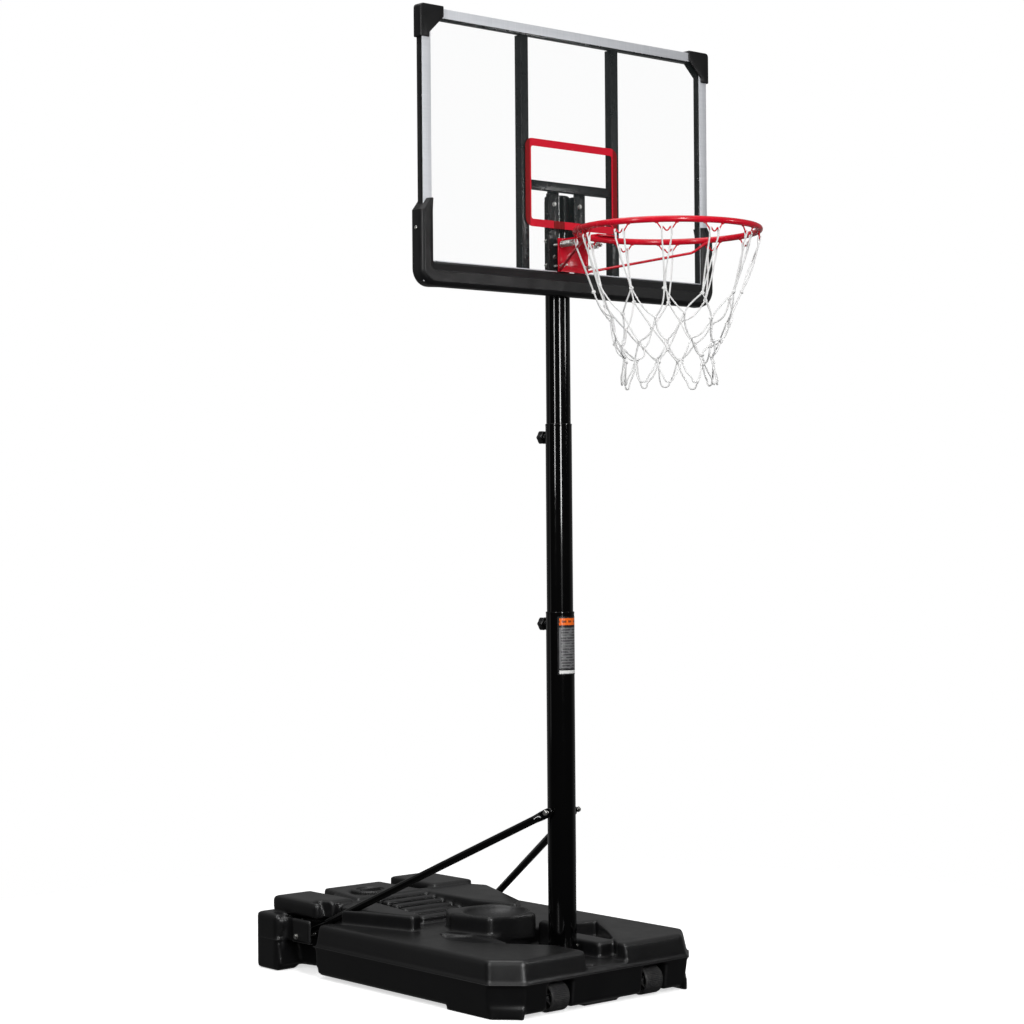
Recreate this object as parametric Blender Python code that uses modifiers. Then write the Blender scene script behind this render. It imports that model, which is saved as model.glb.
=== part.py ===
"""Portable basketball hoop: ballast base, three-section pole, framed clear backboard and spring rim.

Metres, +Z up. The origin is on the floor under the pole's axis, +X is the player's right when facing the
board, and the rim points to -Y.
"""

from math import acos, asin, atan2, cos, pi, radians, sin

import bmesh
import bpy
from mathutils import Matrix, Vector

GAP = 0.0003  # between pieces that touch

# Backboard
BOARD_HALF_W = 0.5075
BOARD_TOP = 2.5615
FRAME_BOTTOM = 1.868
TRIM_FRONT = -0.0625
TRIM_THICK = 0.0015
SHEET_FRONT = -0.0605
SHEET_BACK = -0.0575
FRAME_BACK = -0.0405
RAIL_W = 0.028
TOP_TRIM_W = 0.024
RAIL_LIP = 0.003
RAIL_WALL = 0.0015
POST_X = 0.161
POST_W = 0.025
POST_BACK = -0.0322
CROSSBAR_Z = (2.134, 2.158)
STRAP_X = 0.047
STRAP_W = 0.038
STRAP_Y = (-0.0402, -0.0342)
EAR_Y = (-0.0339, -0.0309)
EAR_REAR = 0.006
EAR_Z = (1.934, 2.130)
EAR_INNER = 0.0366
EAR_THICK = 0.003
STRAP_BOLT_Z = (1.963, 2.103)
CROSS_BOLT_Z = (1.944, 2.008)
CROSS_BOLT_Y = -0.006
SQUARE_HALF_W = 0.164
SQUARE_Z = (2.035, 2.266)
SQUARE_LINE = 0.020
PRINT_THICK = 0.0005
PAD_HALF_W = 0.5205
PAD_ARM_INNER = 0.4795
PAD_Y = (-0.077, -0.031)
PAD_BOTTOM = 1.857
PAD_LIP = 1.920
PAD_ARM_TOP = 2.078

# Rim
RING_CENTRE = Vector((0.0, -0.418, 1.997))
RING_R = 0.233
ROD_R = 0.008
HOOK_COUNT = 12
HOOK_WIRE_R = 0.0018
PLATE_HALF_W = 0.053
PLATE_Y = (-0.0648, -0.0608)
PLATE_Z = (1.9225, 2.010)
FLANGE_THICK = 0.004
FLANGE_HALF_W = 0.035
FLEX_PIVOT = Vector((0.0, -0.0608, 1.9225))  # the plate's lower back edge, about which the rim flexes
RIM_BOLT_X = 0.0456
UPPER_RIM_BOLT_Z = 1.994
LOWER_RIM_BOLT_Z = 1.9385
SPRING_FRONT = -0.1165
RIM_BOLT_R = 0.003
RIM_BRACE_R = 0.0035
RIM_BRACE_INSET = 0.0087  # inwards and downwards from the ring's centre line
NET_TOP = 1.952
NET_BOTTOM = 1.600

# Pole
POLE_R = (0.0378, 0.0352, 0.0327)
POLE_WALL = 0.0015
POLE_Z = ((0.052, 1.0226), (0.515, 1.5236), (1.000, 2.128))
KNOB_DROP = 0.034
KNOB_REACH = 0.030
KNOB_R = 0.021
STUD_R = 0.004
STICKER_Z = (0.856, 1.010)

# Base
SEAM_Z = 0.089
DECK_Z = 0.150
TANK_BOTTOM = 0.010
TANK_HALF_W = 0.3580
TANK_FRONT = -0.1815
TANK_REAR = 0.895
NOTCH_Y = (0.634, 0.790)
NOTCH_X = (0.262, 0.300)
TOWER_X = (0.296, 0.3735)
TOWER_Y = (0.792, 0.893)
TOWER_TOP = 0.160
WEB_X = (0.3395, 0.3425)
WEB_PANEL_X = 0.3485
WEB_Y = (0.668, 0.796)
WEB_PANEL_Y = (0.672, 0.751)
WEB_Z = (0.0885, 0.155)
POCKET_Z = 0.104
WHEEL_X = 0.1675
WHEEL_Y = -0.143
WHEEL_Z = 0.0405
WHEEL_R = 0.0385
WHEEL_W = 0.062
WELL_HALF_W = 0.043
WELL_REAR = -0.098
WELL_TOP = 0.084
AXLE_R = 0.005
BRACE_TOP = Vector((0.0475, 0.0, 0.490))
BRACE_FOOT = Vector((0.333, 0.731, 0.1035))
BRACE_R = 0.0105
BRACE_BOLT_TIP = 0.256
BOLT_R = 0.004
FOOT_BOLT_Z = 0.126
CAP_CENTRE = Vector((-0.085, 0.733, 0.205))
CAP_R = 0.056
CAP_SEAT_Z = 0.188
CAP_NECK_R = 0.0225
GROOVE_START = 0.088  # from the brace's foot, along the brace
FOOT_TOP = 0.030
SOCKET_FLOOR = 0.050
BOWL_CENTRE = (-0.028, 0.240, 0.208)
BOWL_RADII = (0.098, 0.090, 0.042)
TREADS = 6
TREAD_X = (-0.135, 0.092)
TREAD_Y = (0.430, 0.662)
TREAD_TOP = 0.172
TREAD_RISE = 0.0058

CLEAR = 0.02  # how far a cutter reaches past the face it opens


# ---------------------------------------------------------------- scene and materials


def clear_scene():
    for obj in list(bpy.data.objects):
        bpy.data.objects.remove(obj)


def material(name, color, roughness, metallic=0.0, transmission=0.0):
    mat = bpy.data.materials.new(name)
    mat.use_nodes = True
    shader = mat.node_tree.nodes["Principled BSDF"]
    shader.inputs["Base Color"].default_value = (*color, 1.0)
    shader.inputs["Roughness"].default_value = roughness
    shader.inputs["Metallic"].default_value = metallic
    shader.inputs["Transmission Weight"].default_value = transmission
    mat.diffuse_color = (*color, 1.0)
    return mat


clear_scene()
HOOP = bpy.data.collections.new("basketball_hoop")
bpy.context.scene.collection.children.link(HOOP)

MOULDED_BLACK = material("moulded_black", (0.020, 0.020, 0.022), 0.55)
WHEEL_BLACK = material("wheel_black", (0.030, 0.030, 0.032), 0.60)
GLOSS_BLACK = material("gloss_black", (0.008, 0.008, 0.009), 0.18)
FRAME_BLACK = material("frame_black", (0.012, 0.012, 0.013), 0.35)
PAD_BLACK = material("pad_black", (0.016, 0.016, 0.018), 0.45)
RIM_RED = material("rim_red", (0.62, 0.020, 0.030), 0.25)
PRINT_RED = material("print_red", (0.70, 0.015, 0.030), 0.40)
TRIM_SILVER = material("trim_silver", (0.72, 0.73, 0.74), 0.30, 1.0)
ZINC = material("zinc", (0.60, 0.61, 0.62), 0.30, 1.0)
CLEAR_SHEET = material("clear_sheet", (0.96, 0.98, 0.98), 0.03, 0.0, 1.0)
NET_WHITE = material("net_white", (0.86, 0.86, 0.84), 0.80)
STICKER = material("sticker", (0.12, 0.12, 0.13), 0.50)


# ---------------------------------------------------------------- modelling helpers


def add(name, data, mat, location=(0, 0, 0), rotation=(0, 0, 0)):
    obj = bpy.data.objects.new(name, data)
    obj.location = location
    obj.rotation_euler = rotation
    obj.data.materials.clear()
    obj.data.materials.append(mat)
    HOOP.objects.link(obj)
    return obj


def bake(obj):
    """Replaces the object's data with its evaluated, welded mesh."""
    bpy.context.view_layer.update()
    graph = bpy.context.evaluated_depsgraph_get()
    mesh = bpy.data.meshes.new_from_object(obj.evaluated_get(graph))
    weld = bmesh.new()
    weld.from_mesh(mesh)
    bmesh.ops.remove_doubles(weld, verts=weld.verts, dist=0.000001)
    weld.to_mesh(mesh)
    weld.free()
    name, mat, place = obj.name, obj.data.materials[0], obj.matrix_world.copy()
    bpy.data.objects.remove(obj)
    made = add(name, mesh, mat)
    made.matrix_world = place
    made.name = name
    return made


def box(name, low, high, mat, bevel=0.0, segments=2):
    low, high = Vector(low), Vector(high)
    bm = bmesh.new()
    bmesh.ops.create_cube(bm, size=1.0)
    bmesh.ops.scale(bm, vec=high - low, verts=bm.verts)
    mesh = bpy.data.meshes.new(name)
    bm.to_mesh(mesh)
    bm.free()
    obj = add(name, mesh, mat, (low + high) / 2)
    if bevel:
        soften(obj, bevel, segments)
    return obj


def soften(obj, width, segments=2):
    bevel = obj.modifiers.new("Bevel", "BEVEL")
    bevel.width = width
    bevel.segments = segments
    bevel.limit_method = "ANGLE"
    bevel.angle_limit = radians(35)
    return obj


def smooth(obj, angle=35):
    obj.data.shade_smooth()
    obj.data.set_sharp_from_angle(angle=radians(angle))
    return obj


AXIS_TURN = {"X": (0, pi / 2, 0), "Y": (-pi / 2, 0, 0), "Z": (0, 0, 0)}


def turned(name, profile, mat, location=(0, 0, 0), axis="Z", steps=40, closed=False, start=0.0):
    """Turns (radius, height) points about the axis. They run down the outer side, top to bottom."""
    mesh = bpy.data.meshes.new(name)
    points = [(radius * cos(start), radius * sin(start), height) for radius, height in profile]
    edges = [(i, i + 1) for i in range(len(points) - 1)]
    if closed:
        edges.append((len(points) - 1, 0))
    mesh.from_pydata(points, edges, [])
    obj = add(name, mesh, mat, location, AXIS_TURN[axis])
    screw = obj.modifiers.new("Screw", "SCREW")
    screw.steps = steps
    screw.render_steps = steps
    screw.use_merge_vertices = True
    screw.merge_threshold = 0.000005
    return smooth(bake(obj))


def rod(name, radius, start, end, axis, centre, mat, steps=24, bevel=0.0):
    """A plain cylinder from start to end along the axis, through centre, with chamfered ends if asked."""
    profile = [(0, end), (radius, end - bevel), (radius, start + bevel), (0, start)]
    if bevel:
        profile.insert(1, (radius - bevel, end))
        profile.insert(-1, (radius - bevel, start))
    return turned(name, profile, mat, centre, axis, steps, start=pi / steps)


def tube(name, outer, inner, bottom, top, mat, centre=(0, 0, 0), axis="Z", steps=40):
    profile = [(outer, top), (outer, bottom), (inner, bottom), (inner, top)]
    return turned(name, profile, mat, centre, axis, steps, closed=True)


def slab(name, outline, low, high, mat, plane="XY"):
    """A flat outline, thickened from low to high across its plane."""
    curve = bpy.data.curves.new(name, "CURVE")
    curve.dimensions = "2D"
    curve.fill_mode = "NONE"
    curve.extrude = (high - low) / 2
    spline = curve.splines.new("POLY")
    spline.points.add(len(outline) - 1)
    for point, (across, up) in zip(spline.points, outline):
        point.co = (across, up, 0, 1)
    spline.use_cyclic_u = True
    middle = (low + high) / 2
    places = {
        "XY": ((0, 0, middle), (0, 0, 0)),
        "XZ": ((0, middle, 0), (pi / 2, 0, 0)),
        "YZ": ((middle, 0, 0), (pi / 2, 0, pi / 2)),
    }
    return capped(bake(add(name, curve, mat, *places[plane])))


def capped(obj):
    """Closes each opening of a flat outline's walls with one face."""
    bm = bmesh.new()
    bm.from_mesh(obj.data)
    rims = [edge for edge in bm.edges if edge.is_boundary]
    bmesh.ops.holes_fill(bm, edges=rims)
    bmesh.ops.recalc_face_normals(bm, faces=bm.faces)
    bm.to_mesh(obj.data)
    bm.free()
    return obj


def wire(name, points, radius, mat, cyclic=False, sides=2):
    curve = bpy.data.curves.new(name, "CURVE")
    curve.dimensions = "3D"
    curve.bevel_depth = radius
    curve.bevel_resolution = sides
    curve.use_fill_caps = True
    spline = curve.splines.new("POLY")
    spline.points.add(len(points) - 1)
    for point, place in zip(spline.points, points):
        point.co = (*place, 1)
    spline.use_cyclic_u = cyclic
    return smooth(bake(add(name, curve, mat)), 50)


def combine(obj, others, operation, tolerant=False):
    for number, other in enumerate(others):
        boolean = obj.modifiers.new(f"{operation} {number}", "BOOLEAN")
        boolean.operation = operation
        boolean.solver = "EXACT"
        boolean.use_self = tolerant
        boolean.object = other
    made = bake(obj)
    for other in others:
        bpy.data.objects.remove(other)
    return made


def cut(obj, *others, tolerant=False):
    return combine(obj, others, "DIFFERENCE", tolerant)


def join(obj, *others, tolerant=False):
    return combine(obj, others, "UNION", tolerant)


def hole(radius, start, end, axis, centre):
    return rod("hole", radius, start, end, axis, centre, ZINC, 12)


def arc(centre, radius, start, end, count):
    """Points of an arc in degrees, both ends included."""
    angles = [radians(start + (end - start) * i / (count - 1)) for i in range(count)]
    return [(centre[0] + radius * cos(a), centre[1] + radius * sin(a)) for a in angles]


def rounded(left, right, bottom, top, radius, count=5):
    return (
        arc((right - radius, bottom + radius), radius, -90, 0, count)
        + arc((right - radius, top - radius), radius, 0, 90, count)
        + arc((left + radius, top - radius), radius, 90, 180, count)
        + arc((left + radius, bottom + radius), radius, 180, 270, count)
    )


def mirrored(outline, side):
    """The outline as drawn for +X, or turned over for -X."""
    if side > 0:
        return list(outline)
    return [(-across, up) for across, up in reversed(outline)]


def hex_bolt(name, radius, head_side, head_at, tip_at, axis, centre, nut=None):
    """A bolt along the axis, its head outside head_at on the head_side, with its nut run up tight."""
    head = radius * 1.2
    shank = rod(name, radius, min(head_at, tip_at), max(head_at, tip_at), axis, centre, ZINC, 16)
    low, high = sorted((head_at, head_at + head_side * head))
    ends = [rod("head", radius * 1.85, low, high, axis, centre, ZINC, 6)]
    if nut:
        ends.append(rod("nut", radius * 1.9, *sorted(nut), axis, centre, ZINC, 6))
    return join(shank, *ends)


SIDES = (("left", -1), ("right", 1))


# ---------------------------------------------------------------- base


def tank_outline(grow):
    """Half-plan of the tank from the middle of its front to the middle of its rear, mirrored."""
    half, front, rear = TANK_HALF_W + grow, TANK_FRONT - grow, TANK_REAR + grow
    right = [
        (half - 0.069, front),
        (half, front + 0.069),
        (half, NOTCH_Y[0] + grow),
        (NOTCH_X[0] + grow, NOTCH_Y[0] + grow),
        (NOTCH_X[1] + grow, NOTCH_Y[1] - grow),
        (half + 0.014, NOTCH_Y[1] - grow),
        (half + 0.014, rear - 0.030),
        (half - 0.016, rear),
    ]
    return right + [(-across, up) for across, up in reversed(right)]


def tapered(obj, top_scale, bottom_scale=1.0):
    """Draws a slab's upper and lower rims in towards its middle, as a mould's draft does."""
    low = min(v.co.z for v in obj.data.vertices)
    high = max(v.co.z for v in obj.data.vertices)
    middle_y = (TANK_FRONT + TANK_REAR) / 2
    for vertex in obj.data.vertices:
        share = (vertex.co.z - low) / (high - low)
        scale = bottom_scale + (top_scale - bottom_scale) * share
        vertex.co.x *= scale
        vertex.co.y = middle_y + (vertex.co.y - middle_y) * scale
    return obj


def raised(outline, top, bottom=0.13, bevel=0.007):
    return bake(soften(slab("block", outline, bottom, top, MOULDED_BLACK), bevel))


def rectangle(left, right, front, back):
    return [(left, front), (right, front), (right, back), (left, back)]


def brace_groove(side):
    """A slot, open at the top, that lets the brace pass through the raised bars."""
    top = Vector((BRACE_TOP.x * side, BRACE_TOP.y, BRACE_TOP.z))
    foot = Vector((BRACE_FOOT.x * side, BRACE_FOOT.y, BRACE_FOOT.z))
    along = (top - foot).normalized()
    start = foot + along * GROOVE_START
    cutter = bake(box("groove", (-0.018, 0, -0.016), (0.018, 0.24, 0.12), MOULDED_BLACK))
    flat = Vector((along.x, along.y, 0)).normalized()
    turn = atan2(-flat.x, flat.y)
    pitch = asin(along.z)
    middle = Matrix.Translation((0, 0.12, 0.052))
    place = Matrix.Translation(start) @ Matrix.Rotation(turn, 4, "Z")
    cutter.matrix_world = place @ Matrix.Rotation(pitch, 4, "X") @ middle
    return cutter


def tower(side):
    """A rear corner block that stands on the floor, with the web that a brace is bolted to."""
    corner = mirrored(rectangle(*TOWER_X, *TOWER_Y), side)
    web = mirrored(rectangle(*WEB_X, *WEB_Y), side)
    panel = mirrored(rectangle(WEB_X[0], WEB_PANEL_X, *WEB_PANEL_Y), side)
    return join(
        raised(corner, TOWER_TOP, 0.0, 0.010),
        slab("web", web, *WEB_Z, MOULDED_BLACK),
        slab("panel", panel, *WEB_Z, MOULDED_BLACK),
    )


def deck_blocks():
    """The raised shapes of the deck: rear blocks, side bars, saddle, pads by the pole and treads."""
    left_bar = [
        (-0.300, 0.585), (-0.228, 0.352), (-0.190, 0.366), (-0.150, 0.620),
        (-0.150, 0.800), (-0.255, 0.800), (-0.255, 0.640),
    ]
    right_bar = [
        (0.075, 0.272), (0.127, 0.315), (0.246, 0.600),
        (0.205, 0.690), (0.036, 0.680), (0.036, 0.420),
    ]
    cap_block = [(-0.190, 0.655), (0.055, 0.655), (0.055, 0.872), (-0.150, 0.872)]
    saddle = [
        (-0.150, 0.292), (-0.118, 0.160), (0.030, 0.138),
        (0.078, 0.235), (0.050, 0.338), (-0.110, 0.360),
    ]
    blocks = [
        raised(rectangle(-0.340, -0.203, 0.648, 0.862), 0.205, 0.158, 0.012),
        raised(rectangle(-0.228, -0.208, 0.672, 0.850), 0.190, 0.130, 0.003),
        raised(rectangle(-0.326, -0.215, 0.803, 0.854), 0.186),
        raised(cap_block, 0.203),
        raised(rectangle(0.090, 0.235, 0.655, 0.868), 0.2135),
        raised(left_bar, 0.193),
        raised(right_bar, 0.203),
        raised(saddle, 0.201, 0.130, 0.010),
        raised(rectangle(0.050, 0.118, -0.090, 0.075), 0.144, 0.095),
        raised(rectangle(0.048, 0.095, 0.100, 0.160), 0.175, 0.095, 0.012),
    ]
    pitch = (TREAD_Y[1] - TREAD_Y[0]) / TREADS
    for number in range(TREADS):
        front = TREAD_Y[0] + number * pitch
        outline = rectangle(*TREAD_X, front, front + pitch * 0.74)
        blocks.append(raised(outline, TREAD_TOP + TREAD_RISE * number, 0.140, 0.005))
    return blocks


def bowl_cutter():
    """A flattened ball that dishes the saddle."""
    bm = bmesh.new()
    bmesh.ops.create_uvsphere(bm, u_segments=28, v_segments=14, radius=1.0)
    bmesh.ops.scale(bm, vec=BOWL_RADII, verts=bm.verts)
    mesh = bpy.data.meshes.new("bowl")
    bm.to_mesh(mesh)
    bm.free()
    return add("bowl", mesh, MOULDED_BLACK, BOWL_CENTRE)


def base_tank():
    lower = slab("base_tank", tank_outline(-0.0005), TANK_BOTTOM + 0.008, SEAM_Z, MOULDED_BLACK)
    lower = tapered(lower, 1.0, 0.984)
    sole = slab("sole", tank_outline(-0.0075), TANK_BOTTOM, TANK_BOTTOM + 0.012, MOULDED_BLACK)
    sole = tapered(sole, 1.0, 0.984)
    bead = slab("bead", tank_outline(0.0025), SEAM_Z - 0.0015, SEAM_Z + 0.0015, MOULDED_BLACK)
    upper = slab("upper", tank_outline(-0.0009), SEAM_Z + 0.0003, DECK_Z, MOULDED_BLACK)
    upper = bake(soften(tapered(upper, 0.976), 0.009))
    corner_foot = [(0.286, -0.176), (0.291, -0.176), (0.350, -0.112), (0.350, 0.065), (0.270, 0.065)]
    feet = [slab("foot", mirrored(corner_foot, side), 0.0, FOOT_TOP, MOULDED_BLACK) for _, side in SIDES]
    feet.append(slab("foot", rectangle(-0.062, 0.062, -0.150, 0.100), 0.0, FOOT_TOP, MOULDED_BLACK))
    feet += [tower(side) for _, side in SIDES]
    tank = join(lower, sole, bead, upper, *feet)

    pocket = [
        (-0.075, TANK_FRONT - CLEAR), (0.066, TANK_FRONT - CLEAR), (0.070, -0.140), (0.180, 0.017),
        (0.262, 0.150), (0.120, 0.190), (-0.120, 0.145), (-0.145, 0.045), (-0.075, -0.055),
    ]
    cutters = [slab("pocket", pocket, POCKET_Z, 0.3, MOULDED_BLACK)]
    for _, side in SIDES:
        low = (side * WHEEL_X - WELL_HALF_W, TANK_FRONT - CLEAR, -CLEAR)
        high = (side * WHEEL_X + WELL_HALF_W, WELL_REAR, WELL_TOP)
        cutters.append(box("well", low, high, MOULDED_BLACK))
    tank = cut(tank, *cutters)

    tank = join(tank, *deck_blocks())

    over_cap = (CAP_CENTRE.x, CAP_CENTRE.y, 0)
    cutters = [
        bowl_cutter(),
        brace_groove(-1),
        brace_groove(1),
        rod("collar", CAP_R + 0.002, CAP_SEAT_Z, 0.24, "Z", over_cap, MOULDED_BLACK, 40),
        rod("neck", CAP_NECK_R + 0.001, 0.150, 0.20, "Z", over_cap, MOULDED_BLACK, 40),
        rod("socket", POLE_R[0] + 0.0006, SOCKET_FLOOR, 0.4, "Z", (0, 0, 0), MOULDED_BLACK, 48),
        hole(AXLE_R + GAP, -0.225, 0.225, "X", (0, WHEEL_Y, WHEEL_Z)),
        hole(BOLT_R + GAP, 0.0, 0.14, "X", (0, 0, FOOT_BOLT_Z)),
        slab("slot", rounded(-0.052, -0.020, -0.150, -0.138, 0.006, 4), 0.094, 0.12, MOULDED_BLACK),
    ]
    for _, side in SIDES:
        low, high = sorted((side * BRACE_BOLT_TIP - side * CLEAR, side * (WEB_PANEL_X + CLEAR)))
        cutters.append(hole(BOLT_R + GAP, low, high, "X", (0, BRACE_FOOT.y, BRACE_FOOT.z)))
    return smooth(cut(tank, *cutters), 30)


def fill_cap():
    """A round cap with a grip bar, screwed down into the tank's collar."""
    deck = CAP_SEAT_Z + GAP
    profile = [
        (0, 0.206), (CAP_R - 0.014, 0.206), (CAP_R - 0.011, 0.210), (CAP_R - 0.004, 0.210), (CAP_R, 0.206),
        (CAP_R, deck), (CAP_NECK_R, deck), (CAP_NECK_R, 0.152), (0, 0.152),
    ]
    cap = turned("fill_cap", profile, MOULDED_BLACK, (CAP_CENTRE.x, CAP_CENTRE.y, 0))
    grip = box("grip", (-0.034, -0.006, 0.204), (0.034, 0.006, 0.2125), MOULDED_BLACK, 0.002)
    grip.location += Vector((CAP_CENTRE.x, CAP_CENTRE.y, 0))
    cap = smooth(join(cap, bake(grip)))
    return set_origin(cap, CAP_CENTRE)


def set_origin(obj, point):
    """Moves the object's origin to a point, leaving its shape where it is."""
    point = Vector(point)
    local = obj.matrix_world.inverted() @ point
    obj.data.transform(Matrix.Translation(-local))
    obj.matrix_world = obj.matrix_world @ Matrix.Translation(local)
    return obj


def wheel(name, side):
    """A moulded wheel: a hub, a dished web on each face and a plain tread with chamfered edges."""
    half = WHEEL_W / 2
    hub, web, shoulder = 0.012, WHEEL_R - 0.010, WHEEL_R - 0.003
    face = [(hub, half), (web, half - 0.003), (web + 0.004, half), (shoulder, half), (WHEEL_R, half - 0.003)]
    other_face = [(radius, -across) for radius, across in reversed(face)]
    bore = AXLE_R + GAP
    profile = face + other_face + [(bore, -half), (bore, half)]
    return turned(name, profile, WHEEL_BLACK, (side * WHEEL_X, WHEEL_Y, WHEEL_Z), "X", 32, closed=True)


def brace(name, side):
    """A round tube whose ends are pressed flat and drilled for the bolts."""
    top = Vector((BRACE_TOP.x * side, BRACE_TOP.y, BRACE_TOP.z))
    foot = Vector((BRACE_FOOT.x * side, BRACE_FOOT.y, BRACE_FOOT.z))
    over = 0.012
    length = (top - foot).length + 2 * over
    flat, blend = 0.030, 0.030
    stations = [0, 0.006, flat, flat + blend / 2, flat + blend]
    stations += [length - s for s in reversed(stations)]
    rings = 12
    bm = bmesh.new()
    loops = []
    for station in stations:
        near = min(station, length - station)
        share = min(max((near - flat) / blend, 0), 1)
        share = share * share * (3 - 2 * share)
        thick = 0.0028 + (BRACE_R - 0.0028) * share
        wide = 0.0125 + (BRACE_R - 0.0125) * share
        if near < 0.001:
            wide = 0.0085
        ring = [2 * pi * i / rings for i in range(rings)]
        loops.append([bm.verts.new((thick * cos(a), wide * sin(a), station)) for a in ring])
    for low, high in zip(loops, loops[1:]):
        for i in range(rings):
            j = (i + 1) % rings
            bm.faces.new((low[i], low[j], high[j], high[i]))
    bm.faces.new(list(reversed(loops[0])))
    bm.faces.new(loops[-1])
    mesh = bpy.data.meshes.new(name)
    bm.to_mesh(mesh)
    bm.free()
    obj = add(name, mesh, GLOSS_BLACK)
    along = (top - foot).normalized()
    across = (Vector((1, 0, 0)) - along * along.x).normalized()
    turn = Matrix((across, along.cross(across), along)).transposed().to_4x4()
    obj.matrix_world = Matrix.Translation(foot - along * over) @ turn
    ends = [(foot, 0.030), (top, 0.030)]
    drills = [hole(BOLT_R + 0.0012, p.x - r, p.x + r, "X", (0, p.y, p.z)) for p, r in ends]
    return smooth(cut(obj, *drills))


def base_group():
    base_tank()
    fill_cap()
    rod("wheel_axle", AXLE_R, -0.2245, 0.2245, "X", (0, WHEEL_Y, WHEEL_Z), ZINC, 20)
    for side_name, side in SIDES:
        wheel(f"wheel_{side_name}", side)
        brace(f"brace_{side_name}", side)
        head = side * (WEB_PANEL_X + GAP)
        place = (0, BRACE_FOOT.y, BRACE_FOOT.z)
        hex_bolt(f"brace_foot_bolt_{side_name}", BOLT_R, side, head, side * BRACE_BOLT_TIP, "X", place)
    reach = BRACE_TOP.x + 0.0095
    place = (0, BRACE_TOP.y, BRACE_TOP.z)
    hex_bolt("brace_top_bolt", BOLT_R, -1, -reach, reach + 0.010, "X", place, (reach, reach + 0.0065))
    place = (0, 0, FOOT_BOLT_Z)
    hex_bolt("pole_foot_bolt", BOLT_R, -1, -POLE_R[0] - 2 * GAP, 0.130, "X", place, (0.1185, 0.125))


# ---------------------------------------------------------------- pole


def pole_tube(name, number, drills):
    """One tube of the pole. A threaded boss for its clamping stud is welded on near the top."""
    radius = POLE_R[number]
    bottom, top = POLE_Z[number]
    body = tube(name, radius, radius - POLE_WALL, bottom, top, GLOSS_BLACK, steps=48)
    if number < 2:
        centre = (0, 0, top - KNOB_DROP)
        boss = rod("boss", 0.0095, radius - POLE_WALL / 2, radius + 0.009, "Y", centre, GLOSS_BLACK, 24)
        body = join(body, boss)
    if drills:
        body = smooth(cut(body, *drills))
    return body


def knob(name, z, surface, tip):
    """A six-lobed knob moulded round its steel stud, with its origin on the stud's axis."""
    lobes, count = 6, 36
    outline = []
    for i in range(count):
        angle = 2 * pi * i / count
        radius = KNOB_R - 0.0028 * (1 - cos(lobes * angle)) / 2
        outline.append((radius * cos(angle), z + radius * sin(angle)))
    base = surface + 0.016
    body = slab(name, outline, base, surface + KNOB_REACH + 0.008, MOULDED_BLACK, "XZ")
    body = bake(soften(body, 0.003, 1))
    collar = rod("collar", 0.010, base - 0.005, base + 0.002, "Y", (0, 0, z), MOULDED_BLACK, 24)
    stud = rod("stud", STUD_R, tip, base + 0.004, "Y", (0, 0, z), MOULDED_BLACK, 16)
    return set_origin(smooth(join(body, collar, stud)), (0, surface, z))


def pole_joint(name, number):
    """Bushing and clamping knob at the top of one tube."""
    outer, inner = POLE_R[number], POLE_R[number] - POLE_WALL
    next_outer = POLE_R[number + 1]
    top = POLE_Z[number][1]
    tube(f"{name}_bushing", inner - GAP, next_outer + GAP, top - 0.018, top - 0.001, WHEEL_BLACK, steps=40)
    knob(f"{name}_knob", top - KNOB_DROP, outer, next_outer + 0.0004)


def sticker():
    """A blank printed label wrapped round the front of the lower tube."""
    radius = POLE_R[0] + GAP
    reach = radians(53)
    first = -pi / 2 - reach
    edge = [(radius * cos(first), radius * sin(first), z) for z in STICKER_Z]
    mesh = bpy.data.meshes.new("pole_sticker")
    mesh.from_pydata(edge, [(0, 1)], [])
    obj = add("pole_sticker", mesh, STICKER)
    sweep = obj.modifiers.new("Screw", "SCREW")
    sweep.angle = 2 * reach
    sweep.steps = 14
    sweep.render_steps = 14
    sweep.use_normal_flip = True
    thick = obj.modifiers.new("Solidify", "SOLIDIFY")
    thick.thickness = GAP
    thick.offset = 1.0
    return smooth(bake(obj))


def pole_group():
    stud = STUD_R + GAP
    low_z = POLE_Z[0][1] - KNOB_DROP
    mid_z = POLE_Z[1][1] - KNOB_DROP
    pole_tube("pole_lower_tube", 0, [
        hole(stud, 0.0, 0.06, "Y", (0, 0, low_z)),
        hole(BOLT_R + GAP, -0.06, 0.06, "X", (0, 0, BRACE_TOP.z)),
        hole(BOLT_R + GAP, -0.06, 0.06, "X", (0, 0, FOOT_BOLT_Z)),
    ])
    pole_tube("pole_middle_tube", 1, [hole(stud, 0.0, 0.06, "Y", (0, 0, mid_z))])
    cross = [hole(RIM_BOLT_R + GAP, -0.06, 0.06, "X", (0, CROSS_BOLT_Y, z)) for z in CROSS_BOLT_Z]
    pole_tube("pole_upper_tube", 2, cross)
    pole_joint("lower", 0)
    pole_joint("middle", 1)
    top = POLE_Z[2][1]
    plug = POLE_R[2] - POLE_WALL - GAP
    profile = [
        (0, top + 0.004), (0.030, top + 0.004), (POLE_R[2], top + 0.002), (POLE_R[2], top + GAP),
        (plug, top + GAP), (plug, top - 0.012), (0, top - 0.012),
    ]
    turned("upper_tube_cap", profile, WHEEL_BLACK)
    sticker()


# ---------------------------------------------------------------- backboard


def frame_rail_outline(outer, inward):
    """Section of a frame rail: a box with a lip at its outer edge that holds the sheet's edge."""
    lip = outer + inward * RAIL_LIP
    inner = outer + inward * RAIL_W
    lip_front = TRIM_FRONT + TRIM_THICK + GAP
    face = SHEET_BACK + GAP
    return [
        (outer, lip_front), (outer, FRAME_BACK), (inner, FRAME_BACK),
        (inner, face), (lip, face), (lip, lip_front),
    ]


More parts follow.
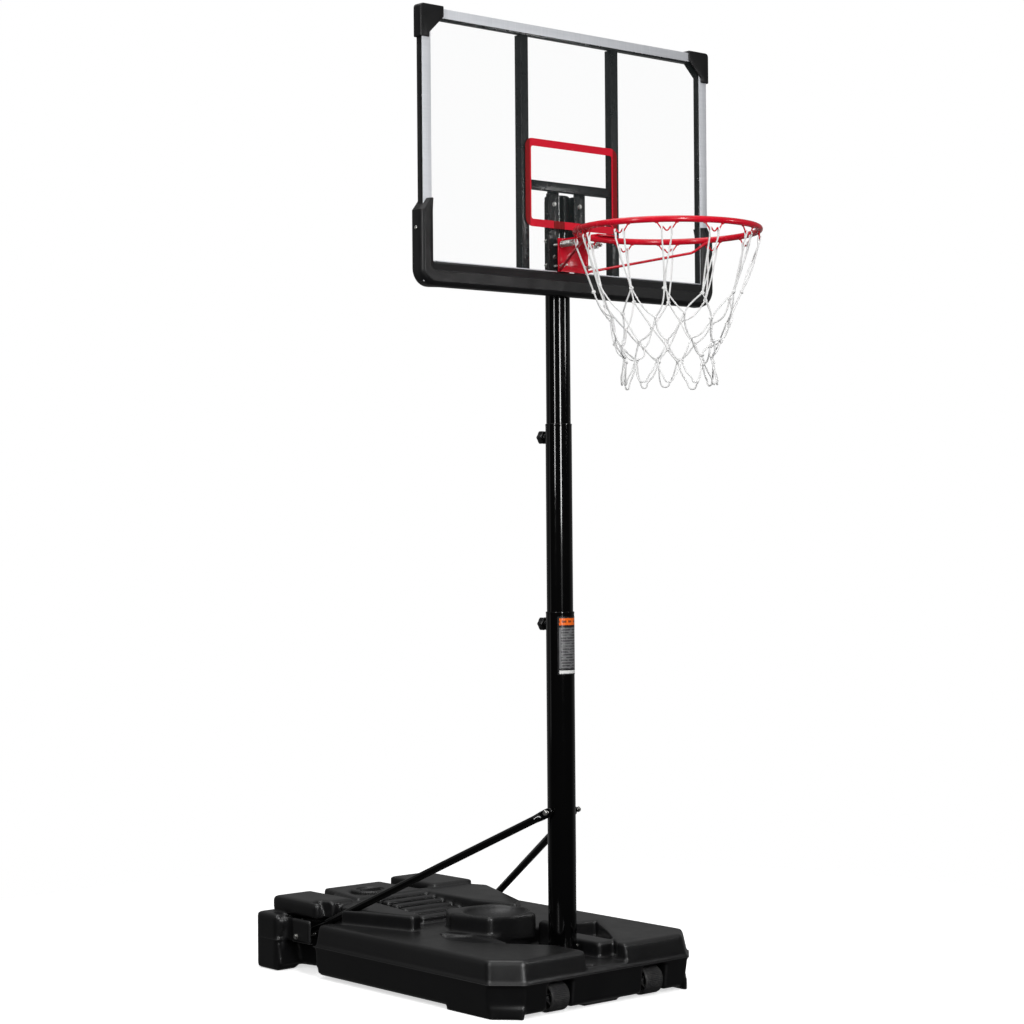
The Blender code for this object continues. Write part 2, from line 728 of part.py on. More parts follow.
def hollow(obj, low, high, along):
    """Opens a square tube from end to end along one axis, leaving its wall round the bore."""
    low, high = Vector(low), Vector(high)
    for axis in range(3):
        inset = -CLEAR if axis == along else RAIL_WALL
        low[axis] += inset
        high[axis] -= inset
    return cut(obj, bake(box("bore", low, high, FRAME_BLACK)))


def frame():
    """Four rails round the sheet, two uprights behind it and the bar between them, all square tube."""
    half, bottom, top = BOARD_HALF_W, FRAME_BOTTOM, BOARD_TOP
    face = SHEET_BACK + GAP
    for name, outer, inward in (("frame_rail_top", top, -1), ("frame_rail_bottom", bottom, 1)):
        section = [(y, z) for z, y in frame_rail_outline(outer, inward)]
        rail = slab(name, section, -half, half, FRAME_BLACK, "YZ")
        z0, z1 = sorted((outer, outer + inward * RAIL_W))
        hollow(rail, (-half, face, z0), (half, FRAME_BACK, z1), 0)
    z0, z1 = bottom + RAIL_W + GAP, top - RAIL_W - GAP
    for side_name, side in SIDES:
        rail = slab(f"frame_rail_{side_name}", frame_rail_outline(side * half, -side), z0, z1, FRAME_BLACK)
        low, high = sorted((side * half, side * (half - RAIL_W)))
        hollow(rail, (low, face, z0), (high, FRAME_BACK, z1), 2)
        low = (side * POST_X - POST_W / 2, face, z0)
        high = (side * POST_X + POST_W / 2, POST_BACK, z1)
        hollow(box(f"vertical_rail_{side_name}", low, high, FRAME_BLACK), low, high, 2)
    inner = POST_X - POST_W / 2 - GAP
    low, high = (-inner, face, CROSSBAR_Z[0]), (inner, FRAME_BACK, CROSSBAR_Z[1])
    hollow(box("frame_crossbar", low, high, FRAME_BLACK), low, high, 0)


def sheet():
    half = BOARD_HALF_W - RAIL_LIP - GAP
    edge = RAIL_LIP + GAP
    low, high = (-half, SHEET_FRONT, FRAME_BOTTOM + edge), (half, SHEET_BACK, BOARD_TOP - edge)
    board = bake(box("backboard_sheet", low, high, CLEAR_SHEET))
    drills = []
    for _, side in SIDES:
        for z in (UPPER_RIM_BOLT_Z, LOWER_RIM_BOLT_Z):
            drills.append(hole(RIM_BOLT_R + 0.0006, -0.08, -0.04, "Y", (side * RIM_BOLT_X, 0, z)))
    cut(board, *drills)


def target_square():
    """A thin printed band on the sheet's face."""
    half, low, high = SQUARE_HALF_W, SQUARE_Z[0], SQUARE_Z[1]
    face = SHEET_FRONT - GAP
    edge = rounded(-half, half, low, high, 0.022)
    line = SQUARE_LINE
    opening = rounded(line - half, half - line, low + line, high - line, 0.006, 3)
    band = slab("target_square", edge, face - PRINT_THICK, face, PRINT_RED, "XZ")
    cut(band, slab("opening", opening, face - CLEAR, face + CLEAR, PRINT_RED, "XZ"))


def trims():
    back = TRIM_FRONT + TRIM_THICK
    half = BOARD_HALF_W
    side_w = RAIL_W
    top = BOARD_TOP
    box("trim_top", (-half, TRIM_FRONT, top - TOP_TRIM_W), (half, back, top), TRIM_SILVER)
    for side_name, side in SIDES:
        low, high = sorted((side * (half - side_w), side * half))
        z0, z1 = FRAME_BOTTOM, top - TOP_TRIM_W - GAP
        box(f"trim_{side_name}", (low, TRIM_FRONT, z0), (high, back, z1), TRIM_SILVER)
    inner = half - side_w - GAP
    low, high = (-inner, TRIM_FRONT, PAD_LIP - 0.020), (inner, back, PAD_LIP + 0.003)
    strip = bake(box("trim_bottom", low, high, TRIM_SILVER))
    mouth = PLATE_HALF_W + 0.004
    cut(strip, bake(box("mouth", (-mouth, -0.1, 1.918), (mouth, 0, 1.96), TRIM_SILVER)))


def corner_cap(name, side):
    """A moulded cap that wraps the frame's upper corner."""
    outer = BOARD_HALF_W + 0.007
    top = BOARD_TOP + 0.0065
    outline = mirrored([
        (0.438, top), (0.438, 2.541), (0.485, 2.496), (0.485, 2.484), (outer, 2.484),
        *arc((outer - 0.010, top - 0.010), 0.010, 0, 90, 4),
    ], side)
    body = bake(soften(slab(name, outline, -0.0668, -0.0368, PAD_BLACK, "XZ"), 0.0022))
    low, high = sorted((side * 0.30, side * (BOARD_HALF_W + GAP)))
    front, back = TRIM_FRONT - GAP, FRAME_BACK + GAP
    pocket = box("pocket", (low, front, 2.3), (high, back, BOARD_TOP + GAP), PAD_BLACK)
    smooth(cut(body, bake(pocket)))


def pad_section():
    """Outline of the bottom pad across its length, as (y, z)."""
    front, back = PAD_Y
    return [
        (back, PAD_BOTTOM + 0.006), (back - 0.006, PAD_BOTTOM),
        (front + 0.009, PAD_BOTTOM), (front, PAD_BOTTOM + 0.012),
        (front, 1.898), (-0.071, 1.905), (-0.071, 1.912), (-0.0655, PAD_LIP), (-0.0635, PAD_LIP),
        (-0.0635, 1.905), (back, 1.905),
    ]


def bottom_pad():
    """One moulded piece along the board's lower edge, with an arm up each side."""
    half = PAD_HALF_W
    bar = slab("bottom_pad", pad_section(), -half + 0.004, half - 0.004, PAD_BLACK, "YZ")
    corners = []
    arms = []
    front, back = PAD_Y
    for _, side in SIDES:
        outline = mirrored([
            (PAD_ARM_INNER, PAD_BOTTOM + 0.014), (half - 0.030, PAD_BOTTOM + 0.0005),
            *arc((half - 0.026, PAD_BOTTOM + 0.026), 0.026, -75, 0, 6),
            (half, PAD_ARM_TOP - 0.028), (half - 0.012, PAD_ARM_TOP - 0.008), (half - 0.026, PAD_ARM_TOP),
            (PAD_ARM_INNER, PAD_ARM_TOP),
        ], side)
        arm = slab("arm", outline, front + 0.0006, back - 0.0006, PAD_BLACK, "XZ")
        arms.append(bake(soften(arm, 0.005)))
        low, high = sorted((side * (half - 0.016), side * (half + CLEAR)))
        corners.append(box("corner", (low, -0.1, 1.8), (high, 0, PAD_BOTTOM + 0.016), PAD_BLACK))
    pad = cut(bar, *[bake(corner) for corner in corners])
    pad = join(pad, *arms)
    pockets = []
    edge = BOARD_HALF_W + GAP
    pocket_back = FRAME_BACK + GAP
    pocket_front = TRIM_FRONT - GAP
    for low, high in (
        ((-edge, pocket_front, FRAME_BOTTOM - GAP), (edge, pocket_back, 1.96)),
        ((-edge, pocket_front, 1.90), (-PAD_ARM_INNER + CLEAR, pocket_back, 2.2)),
        ((PAD_ARM_INNER - CLEAR, pocket_front, 1.90), (edge, pocket_back, 2.2)),
        ((-PAD_ARM_INNER + 0.006, STRAP_Y[0] - 0.002, 1.85), (PAD_ARM_INNER - 0.006, 0.0, 1.96)),
    ):
        pockets.append(bake(box("pocket", low, high, PAD_BLACK)))
    smooth(cut(pad, *pockets))


def pad_screws():
    """Screw heads on the outer faces of the pad's arms."""
    for side_name, side in SIDES:
        surface = side * (PAD_HALF_W + GAP)
        low, high = sorted((surface, surface + side * 0.0025))
        rod(f"pad_screw_{side_name}", 0.0048, low, high, "X", (0, -0.050, 2.003), ZINC, 18, 0.0008)


def mount():
    """Straps behind the sheet, the ears that hold the upper tube, and their bolts."""
    for side_name, side in SIDES:
        low, high = side * STRAP_X - STRAP_W / 2, side * STRAP_X + STRAP_W / 2
        z0, z1 = FRAME_BOTTOM + 0.004, CROSSBAR_Z[1] - 0.002
        near, far = (low, STRAP_Y[0], z0), (high, STRAP_Y[1], z1)
        strap = bake(box(f"mount_strap_{side_name}", near, far, FRAME_BLACK, 0.0015))
        inner, outer = EAR_INNER, EAR_INNER + EAR_THICK
        ear = slab(f"mount_ear_{side_name}", mirrored([
            (inner, EAR_Y[0]), (STRAP_X + STRAP_W / 2, EAR_Y[0]), (STRAP_X + STRAP_W / 2, EAR_Y[1]),
            (outer, EAR_Y[1]), (outer, EAR_REAR), (inner, EAR_REAR),
        ], side), EAR_Z[0], EAR_Z[1], FRAME_BLACK)
        round_end = arc((EAR_REAR - 0.016, EAR_Z[1] - 0.016), 0.016, 90, 0, 5)
        rear, over = EAR_REAR + CLEAR, EAR_Z[1] + CLEAR
        outline = [(EAR_REAR - 0.016, over), *round_end, (rear, EAR_Z[1] - 0.016), (rear, over)]
        trim = slab("trim", outline, -0.1, 0.1, FRAME_BLACK, "YZ")
        drills = []
        strap_drills = []
        for z in (*STRAP_BOLT_Z, UPPER_RIM_BOLT_Z, LOWER_RIM_BOLT_Z):
            place = (side * RIM_BOLT_X, 0, z)
            drills.append(hole(RIM_BOLT_R + GAP, -0.06, 0.0, "Y", place))
            strap_drills.append(hole(RIM_BOLT_R + GAP, -0.06, 0.0, "Y", place))
        for z in CROSS_BOLT_Z:
            drills.append(hole(RIM_BOLT_R + GAP, -0.06, 0.06, "X", (0, CROSS_BOLT_Y, z)))
        smooth(cut(strap, *strap_drills))
        smooth(cut(ear, trim, *drills))
        for level, z in zip(("lower", "upper"), STRAP_BOLT_Z):
            place = (side * RIM_BOLT_X, 0, z)
            rear = EAR_Y[1] + GAP
            nut = (rear, rear + 0.0045)
            name = f"strap_bolt_{level}_{side_name}"
            hex_bolt(name, RIM_BOLT_R, -1, STRAP_Y[0] - GAP, rear + 0.007, "Y", place, nut)
    for level, z in zip(("lower", "upper"), CROSS_BOLT_Z):
        place = (0, CROSS_BOLT_Y, z)
        outer = EAR_INNER + EAR_THICK + GAP
        nut = (-outer - 0.0055, -outer)
        hex_bolt(f"cross_bolt_{level}", RIM_BOLT_R, 1, outer, -outer - 0.010, "X", place, nut)


# ---------------------------------------------------------------- rim


def rim_bracket():
    """Face plate against the board, with a top flange that runs out over the ring."""
    z0, z1 = PLATE_Z
    half = PLATE_HALF_W
    under = z1 - FLANGE_THICK
    reach = RING_CENTRE.y + RING_R - 0.014
    plate = box("rim_bracket", (-half, PLATE_Y[0], z0), (half, PLATE_Y[1], z1), RIM_RED)
    narrow = FLANGE_HALF_W
    flange = slab("flange", [
        (-narrow - 0.008, PLATE_Y[1]), (-narrow, PLATE_Y[0] - 0.012), (-narrow, reach),
        (narrow, reach), (narrow, PLATE_Y[0] - 0.012), (narrow + 0.008, PLATE_Y[1]),
    ], under, z1, RIM_RED)
    body = join(bake(plate), flange)
    drills = []
    for _, side in SIDES:
        x = side * RIM_BOLT_X
        slot_r = RIM_BOLT_R + 0.0008
        for z, down in ((UPPER_RIM_BOLT_Z, 0.0025), (LOWER_RIM_BOLT_Z, 0.0012)):
            outline = rounded(x - slot_r, x + slot_r, z - slot_r - down, z + slot_r + down, slot_r, 5)
            drills.append(slab("slot", outline, -0.08, -0.05, RIM_RED, "XZ"))
    smooth(cut(body, *drills))


def hook_points(turn):
    """One wire hook, welded under the ring at both ends: a W whose two outer notches carry the net."""
    top = RING_CENTRE.z - ROD_R + 0.0015
    half = [(0.0, 0.021), (0.0045, 0.0185), (0.0085, 0.0125), (0.011, 0.0165), (0.0145, 0.0145), (0.025, 0.0)]
    shape = [(-across, down) for across, down in reversed(half[1:])] + half
    radius = RING_R - 0.001
    points = []
    for across, down in shape:
        angle = turn + across / RING_R
        points.append((radius * cos(angle), RING_CENTRE.y + radius * sin(angle), top - down))
    return points


def rim_ring():
    count = 60
    circle = [2 * pi * i / count for i in range(count)]
    points = [(RING_R * cos(a), RING_CENTRE.y + RING_R * sin(a), RING_CENTRE.z) for a in circle]
    ring = wire("rim_ring", points, ROD_R, RIM_RED, cyclic=True, sides=2)
    hooks = []
    for number in range(HOOK_COUNT):
        turn = 2 * pi * (number + 0.5) / HOOK_COUNT
        hooks.append(wire("hook", hook_points(turn), HOOK_WIRE_R, RIM_RED, sides=1))
    smooth(join(ring, *hooks), 60)


def rim_brace(name, side):
    """A rod from the face plate's lower corner, straight to the ring's inner flank, then up along it."""
    radius = RING_R - RIM_BRACE_INSET
    start = Vector((0.0505, PLATE_Y[0] - 0.0025, PLATE_Z[0] + 0.002))
    out = start - RING_CENTRE
    touch = atan2(out.y, out.x) - acos(radius / out.xy.length)
    end = radians(17)
    low, high = RING_CENTRE.z - 0.033, RING_CENTRE.z - RIM_BRACE_INSET
    points = [start]
    steps = 7
    for i in range(steps + 1):
        share = i / steps
        angle = touch + (end - touch) * share
        z = low + (high - low) * share * share * (3 - 2 * share)
        points.append((radius * cos(angle), RING_CENTRE.y + radius * sin(angle), z))
    wire(name, [(x * side, y, z) for x, y, z in points], RIM_BRACE_R, RIM_RED, sides=2)


def spring(name, side):
    """Coil spring on an upper rim bolt, between the face plate and the front nut."""
    back, front = PLATE_Y[0] - GAP, SPRING_FRONT + GAP
    wire_r, coil_r, turns, per_turn = 0.0014, 0.0072, 7, 8
    length = back - front - 2 * wire_r
    points = []
    for i in range(turns * per_turn + 1):
        share = i / (turns * per_turn)
        angle = 2 * pi * i / per_turn
        x = side * RIM_BOLT_X + coil_r * cos(angle)
        z = UPPER_RIM_BOLT_Z + coil_r * sin(angle)
        points.append((x, back - wire_r - length * share, z))
    wire(name, points, wire_r, ZINC, sides=1)


def rim_hardware():
    for side_name, side in SIDES:
        x = side * RIM_BOLT_X
        head_at = EAR_Y[1] + GAP
        place = (x, 0, UPPER_RIM_BOLT_Z)
        nut = (SPRING_FRONT - 0.006, SPRING_FRONT)
        name = f"rim_spring_bolt_{side_name}"
        hex_bolt(name, RIM_BOLT_R, 1, head_at, SPRING_FRONT - 0.009, "Y", place, nut)
        spring(f"rim_spring_{side_name}", side)
        place = (x, 0, LOWER_RIM_BOLT_Z)
        name = f"rim_lower_bolt_{side_name}"
        hex_bolt(name, RIM_BOLT_R, 1, head_at, -0.090, "Y", place, (-0.0770, -0.0695))


def net():
    """The net's envelope: an open, tapering tube."""
    thick = 0.006
    outer = [
        (0.221, NET_TOP), (0.188, 1.835), (0.157, 1.766),
        (0.135, 1.713), (0.121, 1.665), (0.130, NET_BOTTOM),
    ]
    inner = [(radius - thick, z) for radius, z in reversed(outer)]
    turned("net", outer + inner, NET_WHITE, (0, RING_CENTRE.y, 0), "Z", 36, closed=True)


def board_group():
    frame()
    sheet()
    target_square()
    trims()
    for side_name, side in SIDES:
        corner_cap(f"corner_cap_{side_name}", side)
    bottom_pad()
    pad_screws()
    mount()


def rim_group():
    rim_bracket()
    rim_ring()
    for side_name, side in SIDES:
        rim_brace(f"rim_brace_{side_name}", side)
    rim_hardware()
    net()


def hang(name, place, *pieces):
    """Parents the pieces, where they are, to an empty on their joint's axis."""
    empty = bpy.data.objects.new(name, None)
    empty.location = place
    empty.empty_display_size = 0.05
    HOOP.objects.link(empty)
    for piece in pieces:
        obj = bpy.data.objects[piece]
        obj.parent = empty
        obj.matrix_parent_inverse = Matrix.Translation(place).inverted()


base_group()
pole_group()
board_group()
rim_group()
hang("rim_hinge", FLEX_PIVOT, "rim_bracket", "rim_ring", "rim_brace_left", "rim_brace_right", "net")
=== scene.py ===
"""Looks of the portable basketball hoop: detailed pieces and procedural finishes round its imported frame.

Metres, in the frame of the CAD model: +Z up, +X the player's right, the rim towards -Y.
"""

import random
from math import acos, atan2, cos, pi, radians, sin, sqrt

import bmesh
import bpy
from mathutils import Matrix, Vector, noise


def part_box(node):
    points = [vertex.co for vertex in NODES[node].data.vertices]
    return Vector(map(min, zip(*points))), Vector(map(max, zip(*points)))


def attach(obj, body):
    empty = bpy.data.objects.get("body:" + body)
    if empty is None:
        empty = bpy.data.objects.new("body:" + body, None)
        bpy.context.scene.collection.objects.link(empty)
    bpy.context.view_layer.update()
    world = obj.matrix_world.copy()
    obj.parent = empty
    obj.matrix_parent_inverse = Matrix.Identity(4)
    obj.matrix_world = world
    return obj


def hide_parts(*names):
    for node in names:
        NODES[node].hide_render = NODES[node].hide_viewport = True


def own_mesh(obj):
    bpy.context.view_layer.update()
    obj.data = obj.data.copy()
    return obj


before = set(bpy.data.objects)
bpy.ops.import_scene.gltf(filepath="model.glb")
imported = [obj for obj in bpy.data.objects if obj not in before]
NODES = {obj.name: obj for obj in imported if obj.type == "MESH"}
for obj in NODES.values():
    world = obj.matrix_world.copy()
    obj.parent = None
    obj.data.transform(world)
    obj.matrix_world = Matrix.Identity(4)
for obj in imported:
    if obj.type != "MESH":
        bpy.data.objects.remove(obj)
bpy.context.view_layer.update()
SCENE = bpy.context.scene
SIDES = (("left", -1), ("right", 1))


def added(name, data):
    """A new object in the scene."""
    obj = bpy.data.objects.new(name, data)
    SCENE.collection.objects.link(obj)
    return obj


def stored(name, bm):
    """The bmesh as a mesh. The bmesh is freed."""
    mesh = bpy.data.meshes.new(name)
    bm.to_mesh(mesh)
    bm.free()
    return mesh


# ---------------------------------------------------------------- camera, light and floor

CAMERA_PLACE = Vector((-4.157, -4.620, 1.245))
CAMERA_YAW = radians(40.60)  # clockwise from +Y, seen from above
CAMERA_PITCH = radians(0.234)
CAMERA_ROLL = radians(-0.448)
CAMERA_LENS = 81.786
CAMERA_SHIFT = (0.00855, 0.00708)
FLOOR_R = 2.3


def make_camera():
    data = bpy.data.cameras.new("camera")
    data.lens = CAMERA_LENS
    data.shift_x, data.shift_y = CAMERA_SHIFT
    camera = added("camera", data)
    level = Vector((cos(CAMERA_YAW), -sin(CAMERA_YAW), 0))
    forward = Vector((sin(CAMERA_YAW), cos(CAMERA_YAW), 0)) * cos(CAMERA_PITCH)
    forward.z = sin(CAMERA_PITCH)
    upright = level.cross(forward)
    right = level * cos(CAMERA_ROLL) + upright * sin(CAMERA_ROLL)
    up = upright * cos(CAMERA_ROLL) - level * sin(CAMERA_ROLL)
    turn = Matrix((right, up, -forward)).transposed().to_4x4()
    camera.matrix_world = Matrix.Translation(CAMERA_PLACE) @ turn
    SCENE.camera = camera


# Name, azimuth in degrees clockwise from the camera's side, distance, bottom, top, width, radiance
SOFTBOXES = (
    ("strip_left", 35, 3.4, 1.22, 3.9, 0.28, 20.0),
    ("key", -17, 3.6, 1.00, 3.6, 0.42, 26.0),
    ("key_fade", -17, 3.61, 0.90, 1.00, 0.42, 4.5),
    ("key_foot", -17, 3.62, 0.50, 0.90, 0.42, 1.0),
    ("side_right", -72, 3.2, 1.68, 2.32, 0.42, 15.0),
    ("far_right", -80, 3.5, 2.4, 3.5, 1.8, 0.40),
    ("side_left", 92, 3.2, 0.2, 3.0, 0.8, 0.25),
)
OVERHEAD_PLACE = (-0.5, 0.3, 4.4)
OVERHEAD_SIZE = 2.6
OVERHEAD_POWER = 55


def panel(name, width, height, energy):
    data = bpy.data.lights.new(name, "AREA")
    data.shape = "RECTANGLE"
    data.size, data.size_y = width, height
    data.energy = energy
    return added(name, data)


def softbox(name, azimuth, distance, bottom, top, width, radiance):
    """An upright panel of light that faces the pole."""
    light = panel(name, width, top - bottom, radiance * pi * width * (top - bottom))
    angle = radians(azimuth) + CAMERA_YAW + pi
    away = Vector((sin(angle), cos(angle), 0))
    light.location = away * distance + Vector((0, 0, (top + bottom) / 2))
    light.rotation_euler = (-away).to_track_quat("-Z", "Y").to_euler()


def make_lights():
    for row in SOFTBOXES:
        softbox(*row)
    panel("overhead", OVERHEAD_SIZE, OVERHEAD_SIZE, OVERHEAD_POWER).location = OVERHEAD_PLACE
    sun = bpy.data.lights.new("soft_daylight", "SUN")
    sun.energy = 0.7
    sun.angle = radians(100)
    added("soft_daylight", sun).rotation_euler = (radians(8), radians(-6), 0)


def make_world():
    """A white surround to look at, and a dim grey one for the object to reflect."""
    world = bpy.data.worlds.new("studio")
    world.use_nodes = True
    nodes, links = world.node_tree.nodes, world.node_tree.links
    nodes.clear()
    out = nodes.new("ShaderNodeOutputWorld")
    dim = nodes.new("ShaderNodeBackground")
    place = nodes.new("ShaderNodeTexCoord")
    facing = nodes.new("ShaderNodeVectorMath")
    facing.operation = "DOT_PRODUCT"
    facing.inputs[1].default_value = (sin(CAMERA_YAW), cos(CAMERA_YAW), 0.25)
    bright = nodes.new("ShaderNodeMapRange")
    bright.interpolation_type = "SMOOTHSTEP"
    for name, number in (("From Min", -0.2), ("From Max", 1.0), ("To Min", 0.030), ("To Max", 0.24)):
        bright.inputs[name].default_value = number
    links.new(place.outputs["Generated"], facing.inputs[0])
    links.new(facing.outputs["Value"], bright.inputs["Value"])
    links.new(bright.outputs["Result"], dim.inputs["Strength"])
    seen = nodes.new("ShaderNodeBackground")
    seen.inputs["Color"].default_value = (1, 1, 1, 1)
    seen.inputs["Strength"].default_value = 1.0
    path = nodes.new("ShaderNodeLightPath")
    pick = nodes.new("ShaderNodeMixShader")
    links.new(path.outputs["Is Camera Ray"], pick.inputs["Fac"])
    links.new(dim.outputs[0], pick.inputs[1])
    links.new(seen.outputs[0], pick.inputs[2])
    links.new(pick.outputs[0], out.inputs["Surface"])
    SCENE.world = world
    SCENE.view_settings.view_transform = "Standard"


def make_floor():
    bm = bmesh.new()
    bmesh.ops.create_circle(bm, cap_ends=True, segments=96, radius=FLOOR_R)
    mesh = stored("studio_floor", bm)
    floor = added("studio_floor", mesh)
    floor.location = (0, 0.2, -0.0005)
    mat = Finish("floor", (0.88, 0.88, 0.88), 0.9)
    mat.set("Specular IOR Level", 0.1)
    mat.set("Emission Color", (1, 1, 1, 1))
    mat.set("Emission Strength", 0.62)
    mesh.materials.append(mat.material)
    floor.visible_diffuse = False
    floor.visible_glossy = False


# ---------------------------------------------------------------- finishes


class Finish:
    """A Principled material and the few nodes that give it colour variation, grain and a painted highlight
    along convex edges.
    """

    def __init__(self, name, color, roughness, metallic=0.0):
        self.material = bpy.data.materials.new(name)
        self.material.use_nodes = True
        self.tree = self.material.node_tree
        self.shader = self.tree.nodes["Principled BSDF"]
        self.set("Base Color", (*color, 1))
        self.set("Roughness", roughness)
        self.set("Metallic", metallic)
        self.material.diffuse_color = (*color, 1)
        self.normal = None

    def set(self, socket, value):
        self.shader.inputs[socket].default_value = value

    def node(self, kind, **inputs):
        made = self.tree.nodes.new("ShaderNode" + kind)
        for name, value in inputs.items():
            self.put(made.inputs[name.replace("_", " ")], value)
        return made

    def put(self, socket, value):
        if isinstance(value, bpy.types.NodeSocket):
            self.tree.links.new(value, socket)
        else:
            socket.default_value = value

    def place(self, stretch=(1, 1, 1)):
        """Position on the object in metres, stretched along each axis."""
        where = self.node("TexCoord").outputs["Object"]
        if stretch == (1, 1, 1):
            return where
        scale = self.node("Mapping")
        self.put(scale.inputs["Vector"], where)
        self.put(scale.inputs["Scale"], stretch)
        return scale.outputs["Vector"]

    def noise(self, scale, detail=3.0, roughness=0.55, stretch=(1, 1, 1)):
        made = self.node("TexNoise", Scale=scale, Detail=detail, Roughness=roughness)
        self.put(made.inputs["Vector"], self.place(stretch))
        return made.outputs["Fac"]

    def cells(self, scale, stretch=(1, 1, 1)):
        made = self.node("TexVoronoi", Scale=scale)
        self.put(made.inputs["Vector"], self.place(stretch))
        return made.outputs["Distance"]

    def math(self, operation, a, b=0.0):
        made = self.node("Math")
        made.operation = operation
        self.put(made.inputs[0], a)
        self.put(made.inputs[1], b)
        return made.outputs[0]

    def map(self, value, low, high, to_low, to_high):
        made = self.node("MapRange", Value=value)
        for name, number in (("From Min", low), ("From Max", high), ("To Min", to_low), ("To Max", to_high)):
            made.inputs[name].default_value = number
        return made.outputs["Result"]

    def mix(self, share, a, b):
        made = self.node("Mix")
        made.data_type = "RGBA"
        self.put(made.inputs["Factor"], share)
        colors = [socket for socket in made.inputs if socket.type == "RGBA"]
        self.put(colors[0], (*a, 1) if isinstance(a, tuple) else a)
        self.put(colors[1], (*b, 1) if isinstance(b, tuple) else b)
        return [socket for socket in made.outputs if socket.type == "RGBA"][0]

    def color(self, value):
        self.put(self.shader.inputs["Base Color"], value)

    def rough(self, value):
        self.put(self.shader.inputs["Roughness"], value)

    def bump(self, height, depth, strength=1.0):
        """Raises the surface by height times depth, in metres, on top of any earlier bump."""
        made = self.node("Bump", Height=height, Distance=depth, Strength=strength)
        if self.normal:
            self.put(made.inputs["Normal"], self.normal)
        self.normal = made.outputs["Normal"]
        self.put(self.shader.inputs["Normal"], self.normal)

    def edges(self, low, high):
        """1 along convex edges, where a painted highlight is laid, 0 elsewhere."""
        made = self.node("NewGeometry")
        return self.map(made.outputs["Pointiness"], low, high, 0.0, 1.0)


def moulded_finish():
    """Blow-moulded polyethylene: dark grey black, finely pebbled, with slow waves in its gloss."""
    mat = Finish("moulded_plastic", (0.006, 0.006, 0.0065), 0.4)
    cloud = mat.noise(5.0, 4.0, 0.6)
    base = mat.mix(cloud, (0.0035, 0.0035, 0.0038), (0.0070, 0.0070, 0.0074))
    # painted highlight: the convex edges are coloured lighter, standing in for the light caught on their
    # rounding
    mat.color(mat.mix(mat.edges(0.515, 0.60), base, (0.030, 0.030, 0.031)))
    mat.rough(mat.map(mat.noise(14.0, 5.0, 0.6), 0.25, 0.75, 0.30, 0.42))
    mat.set("Specular IOR Level", 0.55)
    mat.bump(mat.noise(9.0, 2.0), 0.0011, 0.6)
    mat.bump(mat.cells(620.0), 0.00022, 0.30)
    mat.bump(mat.noise(1500.0, 2.0), 0.00010, 0.30)
    return mat


def wheel_finish():
    mat = Finish("wheel_plastic", (0.02, 0.02, 0.021), 0.5)
    dust = mat.noise(60.0, 5.0, 0.7)
    mat.color(mat.mix(mat.map(dust, 0.45, 0.75, 0.0, 1.0), (0.020, 0.020, 0.021), (0.050, 0.049, 0.047)))
    mat.rough(mat.map(mat.noise(25.0), 0.3, 0.7, 0.40, 0.62))
    mat.bump(mat.noise(900.0, 3.0), 0.00012, 0.5)
    return mat


def gloss_enamel(name, color, gloss, peel=0.000012, fleck=0.010):
    """Powder coat on steel: a smooth gloss with faint orange peel."""
    mat = Finish(name, color, gloss)
    light = tuple(channel + fleck * 0.3 for channel in color)
    mat.color(mat.mix(mat.map(mat.noise(7.0, 3.0), 0.35, 0.7, 0.0, 1.0), color, light))
    mat.rough(mat.map(mat.noise(40.0, 4.0), 0.3, 0.7, gloss * 0.8, gloss * 1.25))
    mat.bump(mat.noise(420.0, 2.0), peel, 0.5)
    return mat


def pole_finish():
    mat = gloss_enamel("pole_enamel", (0.0012, 0.0012, 0.0013), 0.10, fleck=0.002)
    mat.set("Specular IOR Level", 0.5)
    return mat


def frame_finish():
    return gloss_enamel("frame_enamel", (0.006, 0.006, 0.0065), 0.30, 0.00002, 0.006)


def pad_finish():
    """Injection-moulded polypropylene with a fine spark-eroded texture."""
    mat = Finish("pad_plastic", (0.012, 0.012, 0.013), 0.42)
    mat.color(mat.mix(mat.noise(11.0, 4.0), (0.0045, 0.0045, 0.005), (0.0080, 0.0080, 0.0085)))
    mat.rough(mat.map(mat.noise(22.0, 4.0), 0.3, 0.7, 0.34, 0.48))
    mat.set("Specular IOR Level", 0.34)
    mat.bump(mat.noise(1300.0, 3.0), 0.00010, 0.5)
    return mat


def rim_finish():
    mat = Finish("rim_enamel", (0.56, 0.004, 0.018), 0.24)
    tone = mat.map(mat.noise(18.0, 3.0), 0.3, 0.7, 0.0, 1.0)
    mat.color(mat.mix(tone, (0.50, 0.003, 0.014), (0.60, 0.006, 0.022)))
    mat.rough(mat.map(mat.noise(60.0, 4.0), 0.3, 0.7, 0.18, 0.30))
    mat.set("Specular IOR Level", 0.25)
    mat.set("Coat Weight", 0.25)
    mat.set("Coat Roughness", 0.08)
    mat.bump(mat.noise(300.0, 2.0), 0.00005, 0.5)
    return mat


